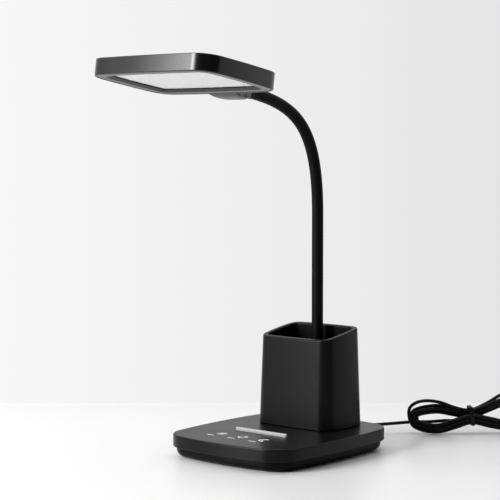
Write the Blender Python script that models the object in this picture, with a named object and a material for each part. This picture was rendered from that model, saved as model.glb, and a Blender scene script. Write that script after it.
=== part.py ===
"""Desk lamp with a pen holder: a weighted base, a pen cup, a bendable neck and a flat square head.

Metres, +Z up. The origin is on the table, under the middle of the base. -Y is the lamp's front.
"""

import math

import bmesh
import bpy
from mathutils import Matrix, Vector

# Clearances and thicknesses shared by many pieces
GAP = 0.0003
SHAFT_GAP = 0.0003
SCREW_HEAD_HEIGHT = 0.0015
SCREW_SIDES = 10

# Base: an upper shell that overhangs a smaller tray
BASE_WIDTH = 0.150
BASE_DEPTH = 0.180
BASE_CORNER = 0.027
BASE_BULGE = 0.004
BASE_HEIGHT = 0.0213
SHELL_HEIGHT = 0.0115
SHELL_WALL = 0.0022
SHELL_EDGE = 0.0009
TRAY_INSET = 0.0034
TRAY_WALL = 0.0030
TRAY_FLOOR = 0.0026
TRAY_EDGE = 0.0060
TRAY_EDGE_STEPS = 4
FLANGE_THICKNESS = 0.0020

# Non-slip pad under the tray, and the screws that it hides
PAD_THICKNESS = 0.0016
PAD_PROUD = 0.0007
PAD_MARGIN = 0.0030
BASE_SCREW_SIDE_INSET = 0.027
BASE_SCREW_END_INSET = 0.030
BASE_SCREW_RADIUS = 0.0013
BASE_SCREW_HEAD = 0.0026
BASE_SCREW_LENGTH = 0.0100
BOSS_RADIUS = 0.0042
PILLAR_HEIGHT = 0.0030

# Ballast and electronics inside the base
BALLAST_SIDE_CLEARANCE = 0.0038
BALLAST_END_INSET = 0.0050
BALLAST_HEIGHT = 0.0050
BALLAST_CORNER = 0.004
BOARD_SIDE_CLEARANCE = 0.0058
BOARD_EDGE_MARGIN = 0.0038
BOARD_SCREW_CLEARANCE = 0.0006
BOARD_DEPTH = 0.026
BOARD_THICKNESS = 0.0016
BOARD_CORNER = 0.002
BOARD_Y = -0.053
TOUCH_PAD_RADIUS = 0.0050
TOUCH_PAD_HEIGHT = 0.0024
BOARD_SCREW_RADIUS = 0.0010
BOARD_SCREW_HEAD = 0.0019
BOARD_SCREW_LENGTH = 0.0045
BOARD_BOSS_RADIUS = 0.0026

# Pen cup
CUP_WIDTH = 0.0908
CUP_DEPTH = 0.0632
CUP_CORNER = 0.0141
CUP_BULGE = 0.0010
CUP_BACK_INSET = 0.0446
CUP_FRONT_HEIGHT = 0.0838
CUP_BACK_HEIGHT = 0.0943
CUP_TAPER = 0.0032
CUP_WALL = 0.0050
CUP_FLOOR = 0.0040
CUP_EDGE = 0.0008
CUP_SCREW_CLEARANCE = 0.0112
CUP_SCREW_END_INSET = 0.0176
CUP_SCREW_RADIUS = 0.0013
CUP_SCREW_HEAD = 0.0026
CUP_SCREW_DEPTH = 0.0024

# Phone stop bar, let into the base in front of the cup
BAR_LENGTH = 0.0610
BAR_WIDTH = 0.0032
BAR_PROUD = 0.0030
BAR_SUNK = 0.0010
BAR_Y = -0.0270

# Neck: straight up from the cup's floor, then one long curve to the head
NECK_RADIUS = 0.0055
NECK_BEHIND_CUP_MIDDLE = 0.0113
NECK_BEND_START_Z = 0.2201
NECK_REACH = 0.1043
NECK_END_Z = 0.3352
NECK_LOWER_HANDLE = 0.0881
NECK_UPPER_HANDLE = 0.0701
NECK_CONE_ANGLE = math.radians(14)
NECK_FIRST_HINGE_Z = 0.137
NECK_TIP_SHARE = 0.1
NECK_CURVE_SAMPLES = 200
NECK_RING_STEP = 0.0065
NECK_LENGTHS = 8
NECK_SIDES = 20
FERRULE_FLANGE_RADIUS = 0.0090
FERRULE_FLANGE_HEIGHT = 0.0030
FERRULE_RADIUS = 0.0074
FERRULE_HEIGHT = 0.0160
FERRULE_SOCKET_DEPTH = 0.0100
STUD_RADIUS = 0.0037
STUD_BORE = 0.0020
STUD_BELOW_SHELL = 0.0072
NUT_RADIUS = 0.0075
NUT_HEIGHT = 0.0034

# Head: a flat square lamp, tipped up at the front
HEAD_WIDTH = 0.1420
HEAD_DEPTH = 0.1012
HEAD_CORNER = 0.0185
HEAD_BULGE = 0.0012
HEAD_THICKNESS = 0.0151
HEAD_TILT = math.radians(-8.62)
HEAD_WALL = 0.0020
HEAD_TOP = 0.0020
HEAD_EDGE = 0.0007
RIM_WIDTH = 0.0075
RIM_SLOPE_WIDTH = 0.0045
RIM_SLOPE_DEPTH = 0.0019
RIM_THICKNESS = 0.0005
FRAME_WALL = 0.0015
FRAME_GAP = 0.0024
PANEL_INSET = 0.0130
PANEL_CORNER = 0.0065
DIFFUSER_THICKNESS = 0.0020
GUIDE_THICKNESS = 0.0030
REFLECTOR_THICKNESS = 0.0004
SPREADER_THICKNESS = 0.0010
STRIP_THICKNESS = 0.0012
STRIP_END_INSET = 0.0066
RIB_X = 0.030
RIB_WIDTH = 0.0020
RIB_LENGTH = 0.060

# Bracket between the neck and the head
COLLAR_RADIUS = 0.0061
COLLAR_LENGTH = 0.0060
BRACKET_LENGTH = 0.0331
BRACKET_AXIS_Z = 0.0083
BRACKET_HALF_WIDTHS = (0.0170, 0.0155, 0.0115, 0.0078, 0.0061)
BRACKET_BOTTOMS = (-0.0010, -0.0026, -0.0026, -0.0010, 0.0022)
BRACKET_TOPS = (0.0128, 0.0132, 0.0138, 0.0142, 0.0144)
BRACKET_SQUARENESS_SHARES = (3.2, 2.9, 2.5, 2.2, 2.0)
BRACKET_SHARES = (0.0, 0.20, 0.48, 0.76, 1.0)
TAB_WIDTH = 0.022
TAB_THICKNESS = 0.0018
TAB_REACH = 0.0074
BRACKET_SCREW_X = 0.0070
BRACKET_SCREW_RADIUS = 0.0010
BRACKET_SCREW_HEAD = 0.0022
BRACKET_BOSS_RADIUS = 0.0028

# Cord, its gland and its plug
CORD_DIAMETER = 0.0032
GLAND_FLANGE_RADIUS = 0.0044
GLAND_FLANGE = 0.0014
GLAND_NECK_RADIUS = 0.0027
GLAND_TIP_RADIUS = 0.0022
GLAND_LENGTH = 0.0140
PLUG_WIDTH = 0.0158
PLUG_HEIGHT = 0.0076
PLUG_LENGTH = 0.0240
PLUG_CORNER = 0.0022
SHELL_TONGUE_WIDTH = 0.0120
SHELL_TONGUE_HEIGHT = 0.0045
SHELL_TONGUE_LENGTH = 0.0125
SHELL_TONGUE_WALL = 0.0004
CONTACT_HEIGHT = 0.0016
CONTACT_WIDTH = 0.0102
PLUG_NECK_RADIUS = 0.0028
PLUG_NECK_LENGTH = 0.0080

# Tied hank of the spare cord, standing on its edge behind the base
HANK_X = 0.0830
HANK_BEHIND_BASE = 0.1100
HANK_Z = 0.0172
HANK_TURN = math.radians(42)
HANK_HALF_LENGTH = 0.0620
HANK_LOBE_HEIGHT = 0.0196
HANK_WAIST_REACH = 0.0250
HANK_SHIFT_START = 0.0150
HANK_SHIFT_END = 0.0450
HANK_STRAND_GAP = 0.0010
HANK_TURNS_IN = 2.25
HANK_ROUNDNESS = 0.62
HANK_POINTS_PER_LOOP = 24
HANK_LIFT = 0.0050
HANK_LEAD_REACH = 0.0260
HANK_TAIL_REACH = 0.0340
HANK_FIRST_RISE = 0.0220
TIE_THICKNESS = 0.0022
TIE_WIDTH = 0.0030
TIE_CLEARANCE = 0.0009

# The lead's places are measured to the right, behind the base's back edge and up
LEAD_ROUTE = (
    (0.0000, 0.0220, 0.0146),
    (0.0014, 0.0260, 0.0136),
    (0.0045, 0.0308, 0.0121),
    (0.0085, 0.0362, 0.0107),
    (0.0125, 0.0416, 0.0098),
    (0.0165, 0.0474, 0.0098),
    (0.0205, 0.0534, 0.0100),
    (0.0245, 0.0596, 0.0101),
    (0.0280, 0.0662, 0.0102),
    (0.0321, 0.0725, 0.0104),
    (0.0369, 0.0782, 0.0105),
    (0.0424, 0.0834, 0.0106),
    (0.0484, 0.0882, 0.0107),
)
# The tail's places are given along the hank's own axes, from the middle of its tie
TAIL_ROUTE = (
    (0.0450, 0.0068, -0.0142),
    (0.0520, 0.0084, -0.0151),
    (0.0600, 0.0110, -0.0154),
    (0.0690, 0.0145, -0.0155),
    (0.0770, 0.0182, -0.0150),
    (0.0850, 0.0218, -0.0142),
    (0.0930, 0.0250, -0.0135),
    (0.1010, 0.0278, -0.0133),
)

# Places that follow from the sizes above
CUP_Y = BASE_DEPTH / 2 - CUP_BACK_INSET
NECK_Y = CUP_Y + NECK_BEHIND_CUP_MIDDLE
NECK_END_Y = NECK_Y - NECK_REACH
HANK_Y = BASE_DEPTH / 2 + HANK_BEHIND_BASE
BASE_SCREW_X = BASE_WIDTH / 2 - BASE_SCREW_SIDE_INSET
BASE_SCREW_Y = BASE_DEPTH / 2 - BASE_SCREW_END_INSET
BALLAST_WIDTH = 2 * (BASE_SCREW_X - BOSS_RADIUS - BALLAST_SIDE_CLEARANCE)
BALLAST_DEPTH = 2 * (BASE_SCREW_Y - BALLAST_END_INSET)
BOARD_WIDTH = 2 * (BASE_SCREW_X - BOSS_RADIUS - BOARD_SIDE_CLEARANCE)
BOARD_SCREW_X = BOARD_WIDTH / 2 - BOARD_EDGE_MARGIN
TOUCH_PITCH = BOARD_SCREW_X - BOARD_BOSS_RADIUS - BOARD_SCREW_CLEARANCE - TOUCH_PAD_RADIUS
CUP_SCREW_X = BASE_SCREW_X - BOSS_RADIUS - CUP_SCREW_HEAD - CUP_SCREW_CLEARANCE
CUP_SCREW_Y = CUP_DEPTH / 2 - CUP_SCREW_END_INSET
SHELL_BOTTOM = BASE_HEIGHT - SHELL_HEIGHT
SHELL_CEILING = BASE_HEIGHT - SHELL_WALL
TRAY_FLOOR_TOP = PAD_PROUD + TRAY_FLOOR
FLANGE_BOTTOM = SHELL_BOTTOM + GAP
FLANGE_TOP = FLANGE_BOTTOM + FLANGE_THICKNESS
PAD_RECESS_TOP = PAD_THICKNESS + GAP
PAD_INSET = TRAY_INSET + TRAY_EDGE + PAD_MARGIN
CUP_BOTTOM = BASE_HEIGHT + GAP
CUP_FLOOR_TOP = CUP_BOTTOM + CUP_FLOOR
CORD_RADIUS = CORD_DIAMETER / 2
GLAND_Z = (SHELL_CEILING + FLANGE_TOP) / 2
GLAND_INNER_RADIUS = (SHELL_CEILING - FLANGE_TOP) / 2 - GAP
PANEL_HALF_WIDTH = HEAD_WIDTH / 2 - PANEL_INSET
DIFFUSER_BOTTOM = RIM_THICKNESS + RIM_SLOPE_DEPTH + RIM_THICKNESS + GAP
BRACKET_START = HEAD_DEPTH / 2 + GAP


for old_object in list(bpy.data.objects):
    bpy.data.objects.remove(old_object, do_unlink=True)


def finish(name, colour, roughness, metallic=0.0):
    """Make a plain material from the part's colour, roughness and metallic value."""
    material = bpy.data.materials.new(name)
    material.use_nodes = True
    shader = material.node_tree.nodes["Principled BSDF"]
    shader.inputs["Base Color"].default_value = (*colour, 1.0)
    shader.inputs["Roughness"].default_value = roughness
    shader.inputs["Metallic"].default_value = metallic
    return material


def place(name, mesh, material, location=(0, 0, 0), rotation=(0, 0, 0), parent=None):
    """Put a mesh into the scene as one named piece."""
    piece = bpy.data.objects.new(name, mesh)
    bpy.context.scene.collection.objects.link(piece)
    piece.location = location
    piece.rotation_euler = rotation
    piece.parent = parent
    if material is not None:
        piece.data.materials.append(material)
    return piece


def hide_tool(tool):
    """Mark an object as a cutter or an addition, which isn't a piece of its own."""
    tool.hide_render = True
    tool.display_type = 'WIRE'
    return tool


def combine(piece, tool, operation):
    """Cut a tool out of a piece, or join it on."""
    step = piece.modifiers.new(f"{operation.lower()} {tool.name}", 'BOOLEAN')
    step.operation = operation
    step.solver = 'EXACT'
    step.object = hide_tool(tool)


def mesh_from_rings(name, rings, looped=False):
    """Skin a row of rings with equal point counts, capped at both ends or joined into a loop."""
    mesh = bpy.data.meshes.new(name)
    work = bmesh.new()
    ring_verts = [[work.verts.new(point) for point in ring] for ring in rings]
    count = len(rings[0])
    pairs = list(zip(ring_verts, ring_verts[1:]))
    if looped:
        pairs.append((ring_verts[-1], ring_verts[0]))
    for lower, upper in pairs:
        for index in range(count):
            following = (index + 1) % count
            work.faces.new((lower[index], lower[following], upper[following], upper[index]))
    if not looped:
        work.faces.new(list(reversed(ring_verts[0])))
        work.faces.new(ring_verts[-1])
    bmesh.ops.recalc_face_normals(work, faces=work.faces)
    work.to_mesh(mesh)
    work.free()
    mesh.shade_smooth()
    mesh.set_sharp_from_angle(angle=math.radians(32))
    return mesh


def circle(radius, z, sides):
    """Return a ring of points around Z."""
    steps = [2 * math.pi * index / sides for index in range(sides)]
    return [(radius * math.cos(step), radius * math.sin(step), z) for step in steps]


def turned(name, profile, sides=20, looped=False):
    """Turn a profile of (radius, z) pairs around Z."""
    return mesh_from_rings(name, [circle(radius, z, sides) for radius, z in profile], looped)


class Outline:
    """A rectangle with round corners and gently bowed sides, and its parallel copies further in."""

    def __init__(self, width, depth, corner, bulge, corner_steps=5, side_steps=3):
        self.corner = corner
        self.side_radius = ((depth / 2 - corner) ** 2 + bulge ** 2) / (2 * bulge)
        self.end_radius = ((width / 2 - corner) ** 2 + bulge ** 2) / (2 * bulge)
        self.side_centre = Vector((width / 2 - self.side_radius, 0.0))
        self.end_centre = Vector((0.0, depth / 2 - self.end_radius))
        self.corner_centre = self.find_corner_centre()
        self.corner_steps = corner_steps
        self.side_steps = side_steps

    def find_corner_centre(self):
        """Find the centre from which a corner arc runs smoothly into both bowed sides."""
        first = self.side_radius - self.corner
        second = self.end_radius - self.corner
        between = self.end_centre - self.side_centre
        distance = between.length
        along = (distance ** 2 + first ** 2 - second ** 2) / (2 * distance)
        across = math.sqrt(first ** 2 - along ** 2)
        direction = between / distance
        normal = Vector((-direction.y, direction.x))
        middle = self.side_centre + direction * along
        return max((middle + normal * across, middle - normal * across), key=lambda spot: spot.x + spot.y)

    def quarter(self, inset):
        """Return the points from the middle of the right side to the middle of the back side."""
        from_side = self.corner_centre - self.side_centre
        from_end = self.corner_centre - self.end_centre
        side_angle = math.atan2(from_side.y, from_side.x)
        end_angle = math.atan2(from_end.y, from_end.x)
        arcs = (
            (self.side_centre, self.side_radius, 0.0, side_angle, self.side_steps),
            (self.corner_centre, self.corner, side_angle, end_angle, self.corner_steps),
            (self.end_centre, self.end_radius, end_angle, math.pi / 2, self.side_steps),
        )
        points = []
        for centre, radius, start, end, steps in arcs:
            for step in range(steps):
                angle = start + (end - start) * step / steps
                reach = radius - inset
                points.append((centre.x + reach * math.cos(angle), centre.y + reach * math.sin(angle)))
        points.append((0.0, self.end_centre.y + self.end_radius - inset))
        return points

    def ring(self, inset, z, slope=0.0):
        """Return one whole ring at a height, which can rise towards the back."""
        first = self.quarter(inset)
        second = [(-x, y) for x, y in reversed(first[:-1])]
        half = first + second
        whole = half + [(-x, -y) for x, y in half[1:-1]]
        return [(x, y, z + slope * y) for x, y in whole]

    def solid(self, name, steps):
        """Skin rings given as (inset, z) or (inset, z, slope)."""
        return mesh_from_rings(name, [self.ring(*step) for step in steps])


def cylinder(name, radius, bottom, top, x=0.0, y=0.0, sides=12, parent=None):
    """Make an upright cylinder as a tool."""
    return place(name, turned(name, ((radius, bottom), (radius, top)), sides), None, (x, y, 0), parent=parent)


def block(name, width, depth, bottom, top, x=0.0, y=0.0, parent=None):
    """Make an upright block as a tool."""
    corners = [(width / 2, -depth / 2), (width / 2, depth / 2),
               (-width / 2, depth / 2), (-width / 2, -depth / 2)]
    rings = [[(cx, cy, z) for cx, cy in corners] for z in (bottom, top)]
    return place(name, mesh_from_rings(name, rings), None, (x, y, 0), parent=parent)


def screw_profile(head_radius, shaft_radius, bottom, length):
    """Return a pan-head screw's profile, head down, with its tip tapered."""
    shaft_start = bottom + SCREW_HEAD_HEIGHT
    tip = shaft_start + length
    edge = 0.25 * SCREW_HEAD_HEIGHT
    return (
        (head_radius - edge, bottom),
        (head_radius, bottom + edge),
        (head_radius, shaft_start),
        (shaft_radius, shaft_start),
        (shaft_radius, tip - shaft_radius),
        (0.4 * shaft_radius, tip),
    )


def mirrored_places(x, y):
    """Return the four places of a screw, one in each quarter."""
    return [(side * x, end * y) for end in (-1, 1) for side in (-1, 1)]


black_shell = finish("satin_black", (0.035, 0.035, 0.037), 0.32)
black_plain = finish("matt_black", (0.02, 0.02, 0.021), 0.55)
black_rubber = finish("black_rubber", (0.015, 0.015, 0.016), 0.8)
steel = finish("bright_steel", (0.6, 0.6, 0.6), 0.3, 1.0)
iron = finish("plain_iron", (0.25, 0.25, 0.26), 0.6, 1.0)
board_green = finish("board_green", (0.03, 0.16, 0.07), 0.5)
copper = finish("copper", (0.7, 0.35, 0.2), 0.35, 1.0)
silver_plastic = finish("silver_plastic", (0.62, 0.62, 0.63), 0.35)
white_diffuser = finish("white_diffuser", (0.86, 0.86, 0.84), 0.5)
clear_guide = finish("clear_guide", (0.8, 0.85, 0.85), 0.1)
aluminium = finish("aluminium", (0.75, 0.75, 0.76), 0.4, 1.0)

base_outline = Outline(BASE_WIDTH, BASE_DEPTH, BASE_CORNER, BASE_BULGE)
cup_outline = Outline(CUP_WIDTH, CUP_DEPTH, CUP_CORNER, CUP_BULGE)
head_outline = Outline(HEAD_WIDTH, HEAD_DEPTH, HEAD_CORNER, HEAD_BULGE)

CUP_SCREW_PLACES = [(x, CUP_Y + y) for x, y in mirrored_places(CUP_SCREW_X, CUP_SCREW_Y)]
BASE_SCREW_PLACES = mirrored_places(BASE_SCREW_X, BASE_SCREW_Y)
BOARD_SCREW_PLACES = [(side * BOARD_SCREW_X, BOARD_Y) for side in (-1, 1)]
BOARD_TOP = SHELL_CEILING - TOUCH_PAD_HEIGHT - 2 * GAP
BOARD_BOTTOM = BOARD_TOP - BOARD_THICKNESS


def make_base_shell():
    """Make the upper shell: top plate, side wall, screw bosses and the holes for what passes through."""
    mesh = base_outline.solid("base_top_shell", (
        (SHELL_WALL, SHELL_CEILING),
        (SHELL_WALL, SHELL_BOTTOM),
        (0.0, SHELL_BOTTOM),
        (0.0, BASE_HEIGHT - SHELL_EDGE),
        (0.3 * SHELL_EDGE, BASE_HEIGHT - 0.3 * SHELL_EDGE),
        (SHELL_EDGE, BASE_HEIGHT),
    ))
    shell = place("base_top_shell", mesh, black_shell)
    root = SHELL_CEILING + SHELL_WALL / 2
    boss_bottom = TRAY_FLOOR_TOP + PILLAR_HEIGHT + GAP
    bore_top = PAD_RECESS_TOP + SCREW_HEAD_HEIGHT + BASE_SCREW_LENGTH + 3 * GAP
    for x, y in BASE_SCREW_PLACES:
        combine(shell, cylinder("boss", BOSS_RADIUS, boss_bottom, root, x, y), 'UNION')
        bore = BASE_SCREW_RADIUS + SHAFT_GAP
        combine(shell, cylinder("boss_bore", bore, boss_bottom - GAP, bore_top, x, y), 'DIFFERENCE')
    for x, y in BOARD_SCREW_PLACES:
        combine(shell, cylinder("board_boss", BOARD_BOSS_RADIUS, BOARD_TOP + GAP, root, x, y), 'UNION')
        bore = BOARD_SCREW_RADIUS + SHAFT_GAP
        bore_end = BOARD_BOTTOM + BOARD_SCREW_LENGTH
        combine(shell, cylinder("board_bore", bore, BOARD_BOTTOM, bore_end, x, y), 'DIFFERENCE')
    for x, y in CUP_SCREW_PLACES:
        bore = CUP_SCREW_RADIUS + SHAFT_GAP
        combine(shell, cylinder("cup_screw_hole", bore, SHELL_BOTTOM, CUP_BOTTOM, x, y), 'DIFFERENCE')
    stud_hole = STUD_RADIUS + SHAFT_GAP
    combine(shell, cylinder("stud_hole", stud_hole, SHELL_BOTTOM, CUP_BOTTOM, 0, NECK_Y), 'DIFFERENCE')
    pocket_mesh = bar_mesh("bar_pocket", GAP, BAR_SUNK + GAP, GAP)
    pocket = place("bar_pocket", pocket_mesh, None, (0, BAR_Y, BASE_HEIGHT))
    combine(shell, pocket, 'DIFFERENCE')
    hole = turned("gland_hole", (
        (GLAND_NECK_RADIUS + GAP, -2 * SHELL_WALL),
        (GLAND_NECK_RADIUS + GAP, 2 * SHELL_WALL),
    ))
    gland_place = (0, BASE_DEPTH / 2 - SHELL_WALL / 2, GLAND_Z)
    combine(shell, place("gland_hole", hole, None, gland_place, (math.radians(-90), 0, 0)), 'DIFFERENCE')
    return shell


def round_lower_edge():
    """Return the tray's lower edge as a quarter round of inset and height pairs, from its floor up."""
    angles = [math.pi / 2 * step / TRAY_EDGE_STEPS for step in range(TRAY_EDGE_STEPS + 1)]
    return [(TRAY_INSET + TRAY_EDGE * (1 - math.sin(angle)), PAD_PROUD + TRAY_EDGE * (1 - math.cos(angle)))
            for angle in angles]


def make_base_tray():
    """Make the lower tray: floor, wall, the flange under the shell and the recesses for pad and screws."""
    flange_inset = SHELL_WALL + GAP
    mesh = base_outline.solid("base_tray", (
        *round_lower_edge(),
        (TRAY_INSET, FLANGE_BOTTOM),
        (flange_inset, FLANGE_BOTTOM),
        (flange_inset, FLANGE_TOP),
        (TRAY_INSET + TRAY_WALL, FLANGE_TOP),
        (TRAY_INSET + TRAY_WALL, TRAY_FLOOR_TOP),
    ))
    tray = place("base_tray", mesh, black_plain)
    recess = base_outline.solid("pad_recess", ((PAD_INSET - GAP, 0), (PAD_INSET - GAP, PAD_RECESS_TOP)))
    head_top = PAD_RECESS_TOP + SCREW_HEAD_HEIGHT + 2 * GAP
    pillar_top = TRAY_FLOOR_TOP + PILLAR_HEIGHT
    for x, y in BASE_SCREW_PLACES:
        combine(tray, cylinder("pillar", BOSS_RADIUS, PAD_RECESS_TOP + GAP, pillar_top, x, y), 'UNION')
    combine(tray, place("pad_recess", recess, None), 'DIFFERENCE')
    for x, y in BASE_SCREW_PLACES:
        combine(tray, cylinder("head_recess", BASE_SCREW_HEAD + GAP, 0, head_top, x, y), 'DIFFERENCE')
        hole = BASE_SCREW_RADIUS + SHAFT_GAP
        combine(tray, cylinder("screw_hole", hole, 0, pillar_top + GAP, x, y), 'DIFFERENCE')
    return tray


def make_base_fittings():
    """Make the non-slip pad, the base screws, the ballast and the touch board."""
    pad = base_outline.solid("non_slip_pad", ((PAD_INSET, 0), (PAD_INSET, PAD_THICKNESS)))
    place("non_slip_pad", pad, black_rubber)
    screw_bottom = PAD_RECESS_TOP + GAP
    profile = screw_profile(BASE_SCREW_HEAD, BASE_SCREW_RADIUS, screw_bottom, BASE_SCREW_LENGTH)
    screw = turned("base_screw", profile, SCREW_SIDES)
    for number, (x, y) in enumerate(BASE_SCREW_PLACES, 1):
        place(f"base_screw_{number}", screw.copy(), steel, (x, y, 0))

    ballast_outline = Outline(BALLAST_WIDTH, BALLAST_DEPTH, BALLAST_CORNER, GAP, 3, 1)
    ballast_bottom = TRAY_FLOOR_TOP + GAP
    ballast = ballast_outline.solid("ballast_plate", (
        (0, ballast_bottom), (0, ballast_bottom + BALLAST_HEIGHT)))
    place("ballast_plate", ballast, iron)

    board_outline = Outline(BOARD_WIDTH, BOARD_DEPTH, BOARD_CORNER, GAP, 2, 1)
    board = board_outline.solid("touch_board", ((0, BOARD_BOTTOM), (0, BOARD_TOP)))
    board_piece = place("touch_board", board, board_green, (0, BOARD_Y, 0))
    profile = screw_profile(
        BOARD_SCREW_HEAD, BOARD_SCREW_RADIUS, BOARD_BOTTOM - GAP - SCREW_HEAD_HEIGHT, BOARD_SCREW_LENGTH)
    screw = turned("board_screw", profile, SCREW_SIDES)
    for number, (x, y) in enumerate(BOARD_SCREW_PLACES, 1):
        bore = BOARD_SCREW_RADIUS + SHAFT_GAP
        hole = cylinder("board_hole", bore, BOARD_BOTTOM - GAP, BOARD_TOP + GAP, x, y)
        combine(board_piece, hole, 'DIFFERENCE')
        place(f"board_screw_{number}", screw.copy(), steel, (x, y, 0))
    pad_bottom = BOARD_TOP + GAP
    pad = turned("touch_pad", (
        (TOUCH_PAD_RADIUS, pad_bottom), (TOUCH_PAD_RADIUS, pad_bottom + TOUCH_PAD_HEIGHT)))
    for number, name in enumerate(("left", "middle", "right")):
        place(f"touch_pad_{name}", pad.copy(), copper, ((number - 1) * TOUCH_PITCH, BOARD_Y, 0))


def make_pen_cup():
    """Make the pen cup: tapered walls, a rim that rises to the back, a floor with its holes, and screws."""
    slope = (CUP_BACK_HEIGHT - CUP_FRONT_HEIGHT) / CUP_DEPTH
    rim = BASE_HEIGHT + (CUP_BACK_HEIGHT + CUP_FRONT_HEIGHT) / 2
    mesh = cup_outline.solid("pen_cup", (
        (CUP_EDGE, CUP_BOTTOM),
        (0.0, CUP_BOTTOM + CUP_EDGE),
        (CUP_TAPER, rim - CUP_EDGE, slope),
        (CUP_TAPER + CUP_EDGE / 2, rim, slope),
        (CUP_TAPER + CUP_WALL - CUP_EDGE / 2, rim, slope),
        (CUP_TAPER + CUP_WALL, rim - CUP_EDGE, slope),
        (CUP_WALL, CUP_FLOOR_TOP + CUP_EDGE),
        (CUP_WALL + CUP_EDGE, CUP_FLOOR_TOP),
    ))
    cup = place("pen_cup", mesh, black_shell, (0, CUP_Y, 0))
    stud_hole = STUD_RADIUS + SHAFT_GAP
    hole = cylinder("cup_stud_hole", stud_hole, BASE_HEIGHT, CUP_FLOOR_TOP + GAP, 0, NECK_Y)
    combine(cup, hole, 'DIFFERENCE')
    screw_bottom = SHELL_CEILING - GAP - SCREW_HEAD_HEIGHT
    length = SHELL_WALL + 2 * GAP + CUP_SCREW_DEPTH
    profile = screw_profile(CUP_SCREW_HEAD, CUP_SCREW_RADIUS, screw_bottom, length)
    screw = turned("cup_screw", profile, SCREW_SIDES)
    for number, (x, y) in enumerate(CUP_SCREW_PLACES, 1):
        bore_top = CUP_BOTTOM + CUP_SCREW_DEPTH + GAP
        bore = cylinder("cup_bore", CUP_SCREW_RADIUS + SHAFT_GAP, BASE_HEIGHT, bore_top, x, y)
        combine(cup, bore, 'DIFFERENCE')
        place(f"cup_screw_{number}", screw.copy(), steel, (x, y, 0))


def bar_mesh(name, grown, sunk, proud):
    """Make the bar's shape around its own middle, with half-round ends and a softened top."""
    half_width = BAR_WIDTH / 2 + grown
    half_run = BAR_LENGTH / 2 + grown - half_width

    def ring(inset, z):
        points = []
        for end in (1, -1):
            for step in range(9):
                angle = math.pi * (step / 8 - 0.5)
                reach = half_width - inset
                points.append((end * (half_run + reach * math.cos(angle)), end * reach * math.sin(angle), z))
        return points

    soft = min(proud, BAR_WIDTH / 4)
    return mesh_from_rings(name, (ring(0, -sunk), ring(0, proud - soft), ring(0.4 * soft, proud - 0.2 * soft),
                                  ring(soft, proud)))


def neck_curve_point(share):
    """Return the curve's point in the plane of symmetry, from the straight part to the head."""
    start = Vector((0, NECK_Y, NECK_BEND_START_Z))
    end = Vector((0, NECK_END_Y, NECK_END_Z))
    lower = start + Vector((0, 0, NECK_LOWER_HANDLE))
    upper = end + Vector((0, math.cos(HEAD_TILT), math.sin(HEAD_TILT))) * NECK_UPPER_HANDLE
    rest = 1 - share
    return (rest ** 3 * start + 3 * rest ** 2 * share * lower
            + 3 * rest * share ** 2 * upper + share ** 3 * end)


def neck_path():
    """Return close points along the neck's middle, from first hinge to collar, and their distances."""
    samples = [Vector((0, NECK_Y, NECK_FIRST_HINGE_Z))]
    samples += [neck_curve_point(step / NECK_CURVE_SAMPLES) for step in range(NECK_CURVE_SAMPLES + 1)]
    distances = [0.0]
    for first, second in zip(samples, samples[1:]):
        distances.append(distances[-1] + (second - first).length)
    return samples, distances


def neck_point(path, distance):
    """Return the neck's point at a distance along its middle, and its direction there."""
    samples, distances = path
    index = next((spot for spot, passed in enumerate(distances) if passed > distance), len(samples) - 1)
    start, end = samples[index - 1], samples[index]
    share = (distance - distances[index - 1]) / (distances[index] - distances[index - 1])
    return start.lerp(end, share), (end - start).normalized()


def neck_hinge_distances(path):
    """Return how far along the neck each hinge is, then where the neck ends in its collar."""
    run = path[1][-1] - COLLAR_LENGTH
    return [run * step / NECK_LENGTHS for step in range(NECK_LENGTHS + 1)]


def tilt_towards(direction):
    """Return the turn about X that points Z along a direction in the plane of symmetry."""
    return math.atan2(-direction.y, direction.z)


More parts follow.
